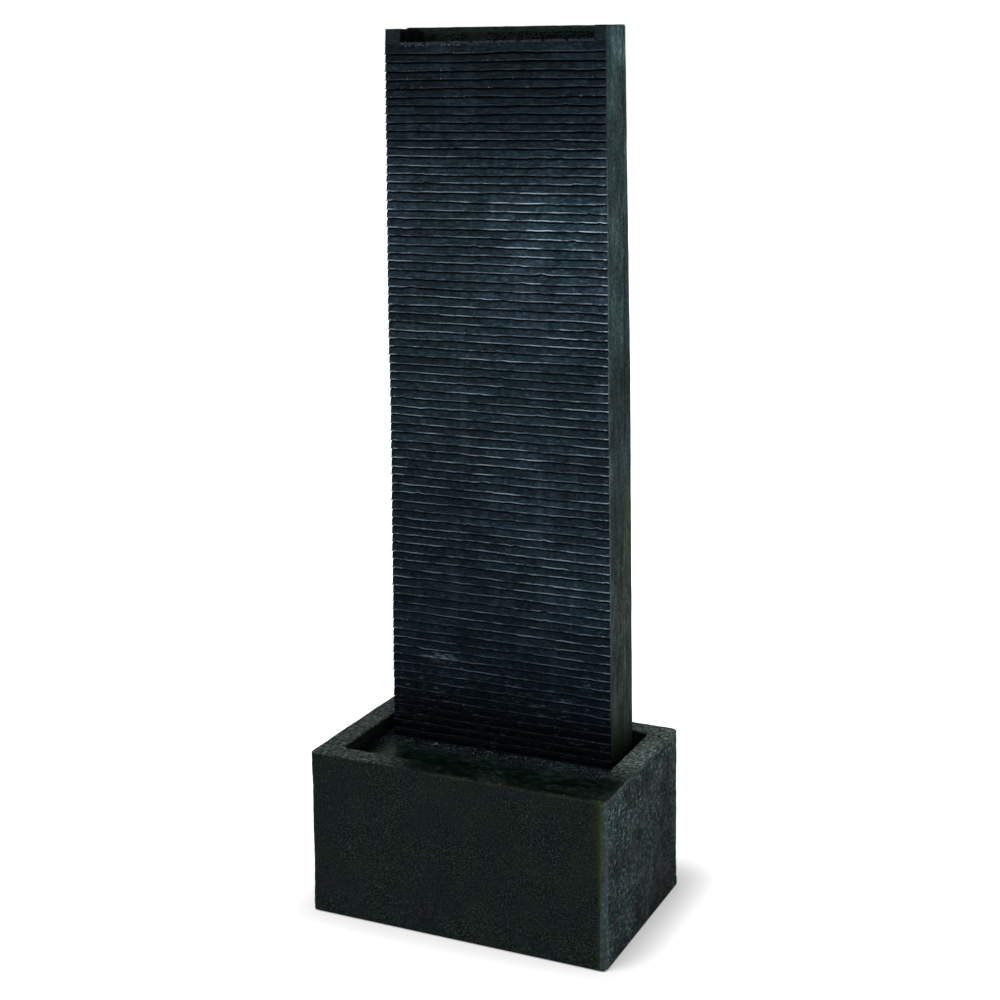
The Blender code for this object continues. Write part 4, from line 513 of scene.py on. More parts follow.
def wet_slate():
    """Blue-black slate under a film of water, with painted light: painted shade in the black
    grooves, painted highlights on the thin bright lips, painted shade darkening it by the pool.
    """
    material, tree, shader = new_material("wet_slate", specular=0.06)
    place = object_place(tree)
    along = object_place(tree, (0.30, 1, 1))
    runs = object_place(tree, (1, 1, 0.10))
    across = axis_of(tree, "X")
    height = axis_of(tree, "Z")
    colour = ramp(
        tree,
        grain(tree, object_place(tree, (0.32, 1, 0.8)), 330, 5, 0.8),
        (0.34, (0.004, 0.008, 0.012)),
        (0.46, (0.015, 0.027, 0.037)),
        (0.57, (0.028, 0.048, 0.064)),
        (0.70, (0.080, 0.120, 0.158)),
    )
    hues = ramp(
        tree,
        grain(tree, object_place(tree, (1, 1, 0.6)), 17, 4, 0.6),
        (0.36, (0.74, 0.86, 0.82)),
        (0.46, (0.90, 0.97, 0.95)),
        (0.54, (1.00, 1.00, 1.03)),
        (0.66, (1.20, 1.17, 1.26)),
    )
    colour = blend(tree, 1.0, colour, hues, "MULTIPLY")
    streaks = patches(tree, (runs, 60, 4, 0.6), 0.52, 0.72)
    colour = blend(tree, times(tree, streaks, 0.34), colour, (0.064, 0.098, 0.130))
    colour = brightened(tree, colour, fade(tree, attribute_of(tree, "tone"), 0, 1, 0.74, 1.2))
    # Painted highlights on the lips of the courses, broken up, dimmer near the top and a little
    # dimmer low down
    lips = attribute_of(tree, "lip")
    highlight_share = times(
        tree,
        patches(tree, (along, 90, 4, 0.7), 0.40, 0.62, 0.06, 1.0),
        patches(tree, (along, 22, 3, 0.6), 0.38, 0.60, 0.35, 1.0),
        fade(tree, height, 0.98, 1.08, 1.0, 0.25),
        fade(tree, height, 0.26, 0.38, 0.85, 1.0),
    )
    colour = blend(tree, times(tree, lips, highlight_share), colour, (0.400, 0.520, 0.640))
    # Painted glints on the lips near the two ends of the face
    half = TOWER_TOP_HALF_WIDTH
    ends = fade(tree, maths(tree, "ABSOLUTE", across), half - 10 * MM, half + 1 * MM)
    end_glints = patches(tree, (place, 160, 3), 0.44, 0.58, 0.1, 1.0)
    end_glints = times(tree, lips, ends, end_glints, fade(tree, height, 0.98, 1.04, 1.0, 0.2))
    colour = blend(tree, end_glints, colour, (0.420, 0.500, 0.560))
    # Painted sheen: soft patches of the face painted brighter where it catches the light
    sheen = near_spot(tree, *SHEEN_SPOTS[0])
    for spot in SHEEN_SPOTS[1:]:
        sheen = maths(tree, "MAXIMUM", sheen, near_spot(tree, *spot))
    colour = brightened(tree, colour, fade(tree, sheen, 0, 1, 1.0, 1.35))
    # Painted light down the face: painted shade by the pool, brightest at mid height, dimmer near
    # the top
    inputs = {"Value": height, "From Min": WATERLINE, "From Max": TOWER_HIGH.z}
    level = ramp(
        tree,
        add_node(tree, "ShaderNodeMapRange", inputs).outputs["Result"],
        (0.00, (0.010, 0.012, 0.018)),
        (0.05, (0.036, 0.044, 0.060)),
        (0.12, (0.190, 0.220, 0.260)),
        (0.24, (0.450, 0.475, 0.500)),
        (0.43, (0.540, 0.550, 0.560)),
        (0.60, (0.800, 0.810, 0.820)),
        (0.76, (0.920, 0.920, 0.920)),
        (0.87, (0.440, 0.440, 0.450)),
        (0.96, (0.360, 0.360, 0.365)),
    )
    colour = blend(tree, 1.0, colour, level, "MULTIPLY")
    # Painted light: the face brighter towards its right
    colour = brightened(tree, colour, fade(tree, across, -0.15, 0.15, 0.86, 1.16))
    # Splashed water low on the face, its glints painted in as pale specks
    splash_glints = times(
        tree,
        patches(tree, (along, 300, 4, 0.75), 0.53, 0.68, 0, 0.7),
        fade(tree, height, 0.39, 0.30),
        fade(tree, height, 0.215, 0.30, 0.4, 1),
        patches(tree, (place, 30, 3), 0.40, 0.60, 0.2, 1),
    )
    # A painted highlight in one patch low on the left of the face
    splash_sheen = near_spot(tree, *SPLASH_HIGHLIGHT_SPOT)
    splash_sheen = times(tree, splash_sheen, patches(tree, (along, 260, 4, 0.7), 0.42, 0.60), 0.85)
    above_spill = fade(tree, height, SPILL_LEVEL, SPILL_LEVEL + 2 * MM)
    crust = times(tree, above_spill, patches(tree, (place, 260, 3), 0.42, 0.60, 0.5, 0.95))
    colour = overlaid(
        tree,
        colour,
        (splash_glints, (0.075, 0.100, 0.135)),
        (splash_sheen, (0.120, 0.185, 0.220)),
        (crust, (0.010, 0.014, 0.0155)),
        # Painted shade blackening the grooves under the lips
        (times(tree, attribute_of(tree, "groove_shade"), 0.95), (0.001, 0.0015, 0.002)),
    )
    finish = {
        "Base Color": colour,
        "Roughness": patches(tree, (along, 90, 4), 0.35, 0.65, 0.26, 0.50),
        "Specular Tint": (0.55, 0.78, 1.0),
        "Coat Roughness": 0.12,
        "Coat Weight": times(tree, patches(tree, (place, 300, 5, 0.75), 0.52, 0.66), 0.14),
    }
    fill(tree, shader, finish)
    relief(
        tree,
        shader,
        (grain(tree, along, 150, 6, 0.7), 1.2 * MM, 0.9),
        (grain(tree, place, 520, 3, 0.65), 0.5 * MM, 0.7),
    )
    return material


def mossy_slate():
    """The tower's smooth sides and back: mottled grey-green, greyer low down, mossy by the pool,
    with a painted highlight on the front edges and painted shade inside the spill notch.
    """
    material, tree, shader = new_material("mossy_slate", specular=0.06)
    place = object_place(tree)
    runs = object_place(tree, (1, 1, 0.25))
    x, y, z = (axis_of(tree, axis) for axis in "XYZ")
    colour = ramp(
        tree,
        grain(tree, runs, 60, 5, 0.7),
        (0.34, (0.015, 0.036, 0.036)),
        (0.46, (0.026, 0.056, 0.059)),
        (0.56, (0.040, 0.077, 0.081)),
        (0.68, (0.100, 0.148, 0.156)),
    )
    clouds = grain(tree, object_place(tree, (1, 1, 0.5)), 24, 4, 0.6)
    colour = brightened(tree, colour, fade(tree, clouds, 0.36, 0.64, 0.66, 1.35))
    dry = ramp(
        tree,
        grain(tree, runs, 90, 5, 0.75),
        (0.40, (0.015, 0.021, 0.018)),
        (0.50, (0.046, 0.061, 0.059)),
        (0.61, (0.118, 0.136, 0.133)),
    )
    low = times(
        tree,
        fade(tree, z, 0.66, 0.44),
        patches(tree, (place, 30, 3), 0.34, 0.56, 0.3, 0.85),
    )
    colour = blend(tree, low, colour, dry)
    colour = brightened(
        tree,
        colour,
        patches(tree, (place, 240, 3, 0.7), 0.38, 0.64, 0.55, 1.50),
        fade(tree, z, 0.95, TOWER_HIGH.z, 1.0, 1.2),
        fade(tree, z, 0.92, 0.62, 1.0, 0.62),
    )
    away = maths(tree, "ABSOLUTE", x)
    side = fade(tree, away, TOWER_TOP_HALF_WIDTH - 6 * MM, TOWER_TOP_HALF_WIDTH - 2 * MM)
    broken = patches(tree, (place, 75, 3, 0.7), 0.38, 0.56)
    edge = times(tree, side, fade(tree, y, FACE_BACK + 5.5 * MM, FACE_BACK + 2.5 * MM))
    shaded = times(tree, edge, fade(tree, z, 0.98, 1.06, 0, 0.8))
    # A painted highlight along the front edges of the sides, broken up
    arris_highlight = times(
        tree, edge, broken, fade(tree, z, 1.05, 0.98, 0, 0.7), fade(tree, z, 0.32, 0.44, 0.15, 1)
    )
    lichen = times(
        tree, side, band(tree, z, 0.52, 0.035, 0.05), fade(tree, y, 0.055, 0.075), broken, 0.5
    )
    seam = band(tree, y, PANEL_LOW.y - 0.3 * MM, 0.6 * MM, 0.8 * MM)
    damp = times(
        tree,
        fade(tree, z, WATERLINE + 200 * MM, WATERLINE),
        patches(tree, (runs, 22, 4), 0.35, 0.60),
    )
    top = fade(tree, z, TOWER_HIGH.z - 4 * MM, TOWER_HIGH.z - 1 * MM, 0, 0.85)
    moss = ramp(
        tree,
        grain(tree, place, 120, 4, 0.7),
        (0.38, (0.001, 0.003, 0.003)),
        (0.50, (0.002, 0.008, 0.008)),
        (0.66, (0.008, 0.018, 0.017)),
    )
    inner = maths(
        tree,
        "MAXIMUM",
        fade(tree, y, PANEL_LOW.y + 5 * MM, PANEL_LOW.y + 3 * MM),
        fade(tree, z, TOWER_HIGH.z - 2 * MM, TOWER_HIGH.z),
    )
    high = fade(tree, z, SPILL_LEVEL - 16 * MM, SPILL_LEVEL - 6 * MM)
    within = times(tree, maths(tree, "SUBTRACT", 1.0, side), inner, high)
    # Painted shade on the inner faces of the spill notch
    notch_shade = fade(tree, away, SPILL_RIGHT + 1.6 * MM, SPILL_RIGHT + 0.6 * MM)
    colour = overlaid(
        tree,
        colour,
        (shaded, (0.012, 0.028, 0.028)),
        (arris_highlight, (0.110, 0.150, 0.155)),
        (lichen, (0.070, 0.095, 0.030)),
        (times(tree, side, seam, broken, 0.6), (0.004, 0.008, 0.007)),
        (damp, (0.009, 0.020, 0.008)),
        (fade(tree, z, WATERLINE + 50 * MM, WATERLINE - 5 * MM, 0, 0.85), (0.003, 0.006, 0.003)),
        (times(tree, top, broken), (0.020, 0.019, 0.017)),
        (within, moss),
        (times(tree, notch_shade, high, fade(tree, y, 0.062, 0.058)), (0.0015, 0.0025, 0.0030)),
    )
    gloss = patches(tree, (runs, 50, 3), 0.3, 0.7, 0.42, 0.68)
    fill(tree, shader, {"Base Color": colour, "Roughness": gloss})
    relief(
        tree,
        shader,
        (grain(tree, runs, 85, 4, 0.6), 1.2 * MM, 0.4),
        (grain(tree, place, 330, 4, 0.65), 0.6 * MM, 0.7),
    )
    return material


def cast_stone():
    """Speckled dark cast stone, paler and pitted on the rim, wet and green at its front right;
    painted light makes its right wall lighter, with painted highlights along its top edge and on
    its near corner.
    """
    material, tree, shader = new_material("cast_stone", specular=0.05)
    place = object_place(tree)
    x, y, z = (axis_of(tree, axis) for axis in "XYZ")
    body = ramp(
        tree,
        grain(tree, place, 400, 5, 0.8),
        (0.36, (0.0002, 0.001, 0.001)),
        (0.45, (0.003, 0.006, 0.006)),
        (0.53, (0.0092, 0.0140, 0.0132)),
        (0.62, (0.046, 0.060, 0.056)),
    )
    calm = patches(tree, (place, 13, 4, 0.65), 0.42, 0.60, 0.45, 0.0)
    body = blend(tree, calm, body, (0.0085, 0.0135, 0.0130))
    tints = ramp(
        tree,
        grain(tree, place, 15, 4, 0.65),
        (0.36, (1.02, 0.90, 1.08)),
        (0.46, (0.90, 0.98, 1.04)),
        (0.56, (0.93, 1.03, 0.98)),
        (0.66, (1.07, 1.05, 0.86)),
    )
    colour = blend(tree, 1.0, body, tints, "MULTIPLY")
    olive = times(
        tree,
        patches(tree, (place, 20, 4, 0.7), 0.50, 0.66),
        patches(tree, (place, 330, 5, 0.8), 0.46, 0.62),
        0.35,
    )
    colour = blend(tree, olive, colour, (0.034, 0.040, 0.016))

    # Right wall, painted lighter than the front as the side that the light falls on
    right = fade(tree, x, BASIN_HIGH.x - 2 * MM, BASIN_HIGH.x - 0.5 * MM)
    wall = ramp(
        tree,
        grain(tree, object_place(tree, (1, 0.6, 1)), 240, 2, 0.7),
        (0.35, (0.001, 0.006, 0.007)),
        (0.45, (0.008, 0.023, 0.026)),
        (0.54, (0.018, 0.040, 0.044)),
        (0.66, (0.124, 0.172, 0.179)),
    )
    # Painted light on the right wall: darker low down and towards the back, with random patches
    wall_level = times(
        tree,
        fade(tree, z, 0.03, BASIN_HIGH.z, 0.65, 1.1),
        fade(tree, y, -0.09, 0.02, 1.0, 0.60),
        patches(tree, (place, 22, 3), 0.38, 0.62, 0.50, 1.45),
    )
    wall = brightened(tree, wall, wall_level)
    pits = times(tree, fade(tree, cells(tree, place, 100), 0.30, 0.12), 0.85)
    specks = patches(tree, (place, 150, 3, 0.7), 0.42, 0.60, 0.2, 0.9)
    # A painted highlight along the top edge of the right wall
    crest_highlight = times(tree, fade(tree, z, BASIN_HIGH.z - 11 * MM, BASIN_HIGH.z - 4 * MM), specks, 0.8)
    wall = overlaid(
        tree, wall, (pits, (0.003, 0.007, 0.008)), (crest_highlight, (0.085, 0.108, 0.106))
    )
    colour = blend(tree, right, colour, wall)

    # Rim, wet at its front right
    rim = fade(tree, z, BASIN_HIGH.z - 3 * MM, BASIN_HIGH.z - 0.8 * MM)
    dry_rim = ramp(
        tree,
        grain(tree, place, 170, 3, 0.75),
        (0.36, (0.006, 0.011, 0.010)),
        (0.44, (0.021, 0.031, 0.029)),
        (0.55, (0.046, 0.059, 0.055)),
        (0.66, (0.140, 0.162, 0.156)),
    )
    dry_rim = brightened(tree, dry_rim, fade(tree, x, -0.2, 0.2, 0.78, 1.75))
    mottle = patches(tree, (place, 20, 4), 0.30, 0.5, 0.88, 1)
    splash_sheen = times(tree, fade(tree, x, -0.15, -0.05), fade(tree, y, 0.02, -0.08), mottle)
    wet_rim = ramp(
        tree,
        grain(tree, place, 90, 5, 0.7),
        (0.35, (0.0003, 0.0015, 0.0012)),
        (0.55, (0.0010, 0.0040, 0.0026)),
        (0.70, (0.010, 0.022, 0.010)),
    )
    colour = blend(tree, rim, colour, blend(tree, splash_sheen, dry_rim, wet_rim))

    # Near corner painted lighter, a painted highlight on its rounded edge, with a line of algae
    # beside it
    corner_x = fade(tree, x, BASIN_HIGH.x - 5 * MM, BASIN_HIGH.x - 3.4 * MM)
    corner_y = fade(tree, y, BASIN_LOW.y + 14 * MM, BASIN_LOW.y + 8 * MM)
    corner_z = fade(tree, z, BASIN_HIGH.z + 1 * MM, BASIN_HIGH.z - 5 * MM)
    corner_highlight = patches(tree, (place, 190, 3, 0.7), 0.36, 0.60, 0.28, 0.62)
    corner_highlight = times(tree, times(tree, corner_x, corner_y, corner_z), corner_highlight)
    front = fade(tree, y, BASIN_LOW.y + 3 * MM, BASIN_LOW.y + 1.5 * MM)
    patchy = patches(tree, (place, 30, 4, 0.7), 0.32, 0.56, 0.1, 1)
    line = band(tree, x, BASIN_HIGH.x - 6 * MM, 0.8 * MM, 1.4 * MM)
    beside = fade(tree, x, BASIN_HIGH.x - 24 * MM, BASIN_HIGH.x - 6 * MM)
    algae = maths(
        tree,
        "MAXIMUM",
        times(tree, line, fade(tree, z, 0.02, 0.17, 0.35, 0.85)),
        times(tree, beside, fade(tree, z, 0.09, 0.18, 0, 0.35)),
    )
    brow = times(
        tree,
        front,
        band(tree, z, BASIN_HIGH.z - 2.5 * MM, 0.6 * MM, 1.2 * MM),
        fade(tree, x, -0.09, 0.02),
        patchy,
        0.5,
    )

    # Growth below the water, inside
    under = fade(tree, z, WATERLINE + 12 * MM, WATERLINE - 1 * MM)
    inside = times(
        tree,
        maths(tree, "LESS_THAN", maths(tree, "ABSOLUTE", x), POOL_HALF_WIDTH + 6 * MM),
        maths(tree, "LESS_THAN", maths(tree, "ABSOLUTE", y), POOL_HALF_DEPTH + 6 * MM),
    )
    colour = overlaid(
        tree,
        colour,
        (corner_highlight, (0.078, 0.105, 0.108)),
        (times(tree, algae, front, patchy), (0.032, 0.044, 0.008)),
        (brow, (0.031, 0.042, 0.019)),
        (times(tree, under, inside), (0.002, 0.004, 0.003)),
    )
    glints = patches(tree, (place, 240, 5, 0.8), 0.54, 0.66)
    wet = maths(tree, "MAXIMUM", times(tree, rim, splash_sheen, 0.8), times(tree, right, 0.12))
    finish = {
        "Base Color": colour,
        "Roughness": patches(tree, (place, 45, 4), 0.35, 0.65, 0.42, 0.7),
        "Coat Roughness": 0.15,
        "Coat Weight": times(tree, wet, glints),
    }
    fill(tree, shader, finish)
    relief(
        tree,
        shader,
        (grain(tree, place, 110, 5, 0.65), 1.3 * MM, 0.6),
        (grain(tree, place, 430, 3, 0.7), 0.5 * MM, 0.8),
    )
    return material


def pool_water_material():
    """Dark pond water with painted green reflections of the moss, and paler froth near the foot of
    the falls.
    """
    material, tree, shader = new_material("pool_water", roughness=0.06, specular=0.06)
    place = object_place(tree)
    x = axis_of(tree, "X")
    y = axis_of(tree, "Y")
    deep = ramp(
        tree,
        grain(tree, place, 13, 4),
        (0.40, (0.0002, 0.0006, 0.0014)),
        (0.56, (0.0006, 0.0018, 0.0024)),
        (0.70, (0.0014, 0.0058, 0.0042)),
    )
    # Painted reflection: green of the moss reflected in patches of the water in front of the tower
    moss_reflection = ramp(
        tree,
        grain(tree, object_place(tree, (0.5, 1, 1)), 110, 5, 0.75),
        (0.38, (0.0008, 0.0022, 0.0018)),
        (0.50, (0.0040, 0.0090, 0.0070)),
        (0.64, (0.0140, 0.0270, 0.0170)),
    )
    reflected_patches = times(
        tree,
        fade(tree, y, TOWER_LOW.y - 10 * MM, TOWER_LOW.y - 30 * MM),
        fade(tree, x, -0.166, -0.140),
        patches(tree, (place, 22, 3), 0.38, 0.56, 0.25, 0.95),
    )
    deep = blend(tree, reflected_patches, deep, moss_reflection)
    near = fade(tree, y, TOWER_LOW.y - 52 * MM, TOWER_LOW.y - 12 * MM)
    fine = patches(tree, (place, 260, 6, 0.85), 0.46, 0.64)
    froth = times(tree, near, fine, patches(tree, (place, 40, 4), 0.36, 0.55, 0.35, 1))
    white = brightened(tree, (0.032, 0.044, 0.054), fade(tree, x, -0.05, 0.13, 1, 1.9))
    colour = blend(tree, times(tree, froth, 0.85), deep, white)
    finish = {
        "Base Color": colour,
        "Roughness": fade(tree, froth, 0, 1, 0.06, 0.55),
        "Specular Tint": (0.72, 1.0, 0.86),
    }
    fill(tree, shader, finish)
    relief(
        tree,
        shader,
        (grain(tree, place, 120, 4, 0.6), 0.8 * MM, 0.35),
        (grain(tree, place, 420, 4, 0.7), 0.5 * MM, 0.3),
    )
    return material


def tray_material():
    """The tray's resin: slate grey on the lip, brown-green moss on the back wall, and painted shade
    at its two ends.
    """
    material, tree, shader = new_material("tray_resin", specular=0.08)
    place = object_place(tree)
    runs = object_place(tree, (1, 1, 0.4))
    x, y, z = (axis_of(tree, axis) for axis in "XYZ")
    moss = ramp(
        tree,
        grain(tree, runs, 120, 5, 0.75),
        (0.34, (0.0010, 0.0025, 0.0020)),
        (0.50, (0.0040, 0.0085, 0.0065)),
        (0.70, (0.0090, 0.0190, 0.0140)),
    )
    crown = times(tree, fade(tree, z, TRAY_HIGH.z - 3 * MM, TRAY_HIGH.z - 1 * MM), 0.8)
    # Painted shade at the tray's two ends, beside the ears
    ends = maths(
        tree,
        "MAXIMUM",
        fade(tree, x, TRAY_LOW.x + 9 * MM, TRAY_LOW.x + 5 * MM),
        fade(tree, x, TRAY_HIGH.x - 9 * MM, TRAY_HIGH.x - 5 * MM),
    )
    slate = ramp(
        tree,
        grain(tree, place, 240, 5, 0.75),
        (0.35, (0.006, 0.010, 0.014)),
        (0.55, (0.024, 0.033, 0.042)),
        (0.70, (0.065, 0.082, 0.098)),
    )
    lip = fade(tree, y, HOLLOW_FRONT + 3 * MM, HOLLOW_FRONT)
    lip = times(tree, lip, fade(tree, z, SPILL_LEVEL + 3 * MM, SPILL_LEVEL + 1.5 * MM))
    colour = overlaid(
        tree,
        moss,
        (crown, (0.008, 0.017, 0.016)),
        (times(tree, ends, 0.9), (0.0006, 0.0014, 0.0020)),
        (lip, slate),
    )
    gloss = patches(tree, (place, 60), 0.3, 0.7, 0.25, 0.6)
    fill(tree, shader, {"Base Color": colour, "Roughness": gloss})
    relief(tree, shader, (grain(tree, runs, 160, 5, 0.7), 1.2 * MM, 0.7))
    return material


def plain_finish(name, speckle, stops, gloss=None, pits=None, transmission=0.0, **levels):
    """A finish of one speckled colour, with gloss and pits by grains of their own scale."""
    material, tree, shader = new_material(name, **levels)
    place = object_place(tree)
    finish = {
        "Base Color": ramp(tree, grain(tree, place, *speckle), *stops),
        "Transmission Weight": transmission,
    }
    if gloss:
        scale, low, high = gloss
        finish["Roughness"] = patches(tree, (place, scale), 0.3, 0.7, low, high)
    fill(tree, shader, finish)
    if pits:
        scale, detail, depth, strength = pits
        relief(tree, shader, (grain(tree, place, scale, detail), depth, strength))
    return material


def moulded(name, dark, light, roughness):
    """Moulded plastic, rubber or magnet, a little worn."""
    return plain_finish(
        name,
        (120, 4),
        ((0.35, dark), (0.7, light)),
        gloss=(60, roughness - 0.08, roughness + 0.1),
        pits=(1400, 2, 0.15 * MM, 0.25),
        specular=0.4,
    )


def stainless_steel():
    material, tree, shader = new_material("stainless_steel", metallic=1.0)
    place = object_place(tree)
    brushed = object_place(tree, (1, 1, 14))
    speckle = grain(tree, place, 90, 4)
    colour = ramp(tree, speckle, (0.3, (0.36, 0.36, 0.35)), (0.7, (0.60, 0.60, 0.58)))
    stain = patches(tree, (place, 160, 4), 0.60, 0.75, 0, 0.5)
    colour = blend(tree, stain, colour, (0.16, 0.14, 0.11))
    gloss = patches(tree, (brushed, 200), 0.3, 0.7, 0.22, 0.42)
    fill(tree, shader, {"Base Color": colour, "Roughness": gloss})
    relief(tree, shader, (grain(tree, brushed, 400, 2), 0.08 * MM, 0.3))
    return material


# Pieces

def make_slate_face(material):
    """The ridged face of stacked courses, as one closed sheet in front of the tower."""
    lips = course_lips()
    rows = len(COURSE_ROWS)
    count = len(lips)
    face = add_grid("slate_face", FACE_COLUMNS, rows * count, (-0.5, -0.5, 0), (0.5, 0.5, 0))
    places = points_of(face)
    column = numpy.rint((places[:, 0] + 0.5) * FACE_COLUMNS).astype(int)
    row = numpy.rint((0.5 - places[:, 1]) * rows * count).astype(int)

    chance = random.Random(COURSE_SEED + 1)
    lip_shift = numpy.zeros((count + 1, FACE_COLUMNS + 1))
    proud_shift = numpy.zeros((count + 1, FACE_COLUMNS + 1))
    tone = numpy.zeros((count + 1, FACE_COLUMNS + 1))
    for course in range(count):
        slab_end = 0
        slab_lift = slab_proud = slab_tone = 0.0
        for i in range(FACE_COLUMNS + 1):
            x = (i / FACE_COLUMNS - 0.5) * 2 * TOWER_WATERLINE_HALF_WIDTH
            if i >= slab_end:
                slab_end = i + chance.randint(*SLAB_COLUMNS)
                slab_lift = chance.uniform(-SLAB_LIFT, SLAB_LIFT)
                slab_proud = chance.uniform(-SLAB_PROUD, SLAB_PROUD)
                slab_tone = chance.random()
            wave = bumps((x, course * 0.31, 0), 90 * MM, 2) * LIP_WAVE
            ripple = bumps((x, course * 0.17, 3), 15 * MM, 3) * LIP_RIPPLE
            lip_shift[course, i] = slab_lift + wave + ripple
            ripple = bumps((x, course * 0.23, 7), 22 * MM, 3) * PROUD_RIPPLE
            proud_shift[course, i] = slab_proud + ripple
            tone[course, i] = slab_tone
        for _ in range(chance.choice((0, 1, 1, 2, 3))):
            middle = chance.uniform(0, FACE_COLUMNS)
            reach = chance.uniform(1.0, 3.5)
            depth = chance.uniform(0.3, 1.3) * MM
            for i in range(FACE_COLUMNS + 1):
                share = max(0.0, 1 - abs(i - middle) / reach)
                lip_shift[course, i] += depth * math.sqrt(share)
                proud_shift[course, i] += 0.7 * depth * share

    groove_shade = numpy.zeros(len(places))
    highlight_share = numpy.zeros(len(places))
    tones = numpy.zeros(len(places))
    for number in range(len(places)):
        i = column[number]
        course, step = divmod(row[number], rows)
        down, deep, dark, lit_share = COURSE_ROWS[step]
        if course == 0:
            top = LIP_SEAT
        else:
            top = lips[course - 1] + lip_shift[course - 1, i] - COURSE_UNDERCUT
        if course == count:
            down = 0.0
            bottom = top
        else:
            bottom = lips[course] + lip_shift[course, i]
        z = top + (bottom - top) * down
        x = (i / FACE_COLUMNS - 0.5) * 2 * tower_half_width(z)
        x -= bow(z) * (1 - i / FACE_COLUMNS)
        if i in (0, FACE_COLUMNS):
            ragged = bumps((course * 0.37, step * 0.05, i), 1, 2) * 0.6 * MM
            ragged += (lit_share - dark) * END_WEAR
            x += ragged if i else -ragged
        y = TOWER_LOW.y + (FACE_VALLEY - TOWER_LOW.y) * deep
        y += proud_shift[min(course, count - 1), i] * (1 - deep)
        if course == 0 and down < 0.9:
            y = min(y, TOWER_LOW.y + 1.1 * MM)
            dark = 0.0
        rough = bumps((x, y, z * 1.6), 7 * MM, 3)
        y += rough * FACE_ROUGHNESS * (1 - 0.6 * deep)
        places[number] = (x, min(y, FACE_VALLEY), z)
        groove_shade[number] = dark
        highlight_share[number] = lit_share
        tones[number] = tone[min(course, count - 1), i]
    set_points(face, places)
    # Painted shade of the grooves, painted highlight of the lips, and each slab's tone, kept as
    # attributes for the finish
    for name, values in (("groove_shade", groove_shade), ("lip", highlight_share), ("tone", tones)):
        add_attribute(face, name, values)

    # The back of the sheet
    open_edit(face, kind="EDGE")
    bpy.ops.mesh.select_non_manifold()
    bpy.ops.mesh.extrude_edges_move()
    bpy.ops.transform.resize(value=(1, 0, 1), center_override=(0, FACE_BACK, 0))
    bpy.ops.mesh.edge_face_add()
    bpy.ops.mesh.select_all(action="SELECT")
    bpy.ops.mesh.normals_make_consistent(inside=False)
    close_edit()
    soften(face, 32)
    dress(face, material)
    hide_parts("tower_shell")


def side_shift(x, y, z, pits=0.0):
    """How far the casting moves a point of the tower's smooth sides."""
    swell = bumps((x * 3, y, z * 0.25), 28 * MM, 3) * SIDE_SWELL
    return math.copysign(swell + pits, x) - (bow(z) if x < 0 else 0)


def make_tower_body(side_material, face_material):
    """The tower behind its slate face: smooth sides, the two ears and the hollow."""
    tower = copy_of("tower_shell", "tower_body")
    wide = 2 * TOWER_WATERLINE_HALF_WIDTH
    slab = add_box(
        "face_recess",
        (-wide, TOWER_LOW.y - 10 * MM, TOWER_LOW.z - 10 * MM),
        (wide, FACE_BACK + 0.1 * MM, LIP_SEAT + 0.1 * MM),
    )
    cut_away(tower, slab)

    def outer_edge(middle, along):
        upright = abs(middle.x) > TOWER_TOP_HALF_WIDTH - 0.5 * MM and abs(along.z) > 0.9
        crown = middle.z > TOWER_HIGH.z - 0.1 * MM and abs(middle.x) > SPILL_RIGHT - 1 * MM
        seam = middle.y > TOWER_HIGH.y - 0.1 * MM
        return crown or upright and (seam or middle.z > LIP_SEAT)

    def as_cast(x, y, z):
        move = rise = 0.0
        if abs(x) - tower_half_width(z) > -SIDE_ZONE:
            pits = bumps((x, y, z), 9 * MM, 2) * SIDE_PITS
            move = side_shift(x, y, z, pits) - math.copysign(0.15 * MM, x)
        if z > TOWER_HIGH.z - TOP_ZONE:
            rise = bumps((x, y, 0.3), 9 * MM, 3) * 0.7 * MM
            rise += EAR_RISE_LEFT if x < 0 else EAR_RISE_RIGHT
        return x + move, y, z + rise

    pick(tower, "EDGE", outer_edge)
    bpy.ops.mesh.bevel(offset=EAR_BEVEL, segments=3, affect="EDGES", clamp_overlap=True)
    close_edit()
    slice_evenly(tower, 2, TOWER_LOW.z, TOWER_HIGH.z, TOWER_STEP)
    slice_evenly(tower, 1, FACE_BACK, TOWER_HIGH.y, TOWER_STEP)
    reshape(tower, as_cast)
    soften(tower, 40)
    dress(tower, side_material)
    tower.data.materials.append(face_material)
    for face in tower.data.polygons:
        if face.normal.y < -0.7 and face.center.y < FACE_VALLEY and face.center.z > LIP_SEAT:
            face.material_index = 1
    add_attribute(tower, "tone", numpy.full(len(tower.data.vertices), 0.5))
    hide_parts("tower_shell")


def make_rear_panel(material):
    """The rear panel with softened rims and a rough top edge a little above the ears."""
    panel = copy_of("rear_panel", "rear_panel_casting")

    def as_cast(x, y, z):
        move = back = rise = 0.0
        if abs(x) - tower_half_width(z) > -SIDE_ZONE:
            move = side_shift(x, y, z)
            if y > TOWER_BACK + 1 * MM:
                back = bumps((x, 0.3, z), 30 * MM, 3) * 0.9 * MM
        if z > PANEL_HIGH.z - TOP_ZONE:
            rise = PANEL_RISE_RIGHT + PANEL_RISE_MORE * (PANEL_HIGH.x - x) / (2 * PANEL_HIGH.x)
            rise += bumps((x, y, 0.9), 16 * MM, 3) * 0.5 * MM
        return x + move, y + back, z + rise

    slice_evenly(panel, 2, PANEL_LOW.z, PANEL_HIGH.z, PANEL_STEP)
    slice_evenly(panel, 0, PANEL_LOW.x, PANEL_HIGH.x, PANEL_STEP)
    reshape(panel, as_cast)
    soften(panel, 35)
    dress(panel, material)
    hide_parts("rear_panel")


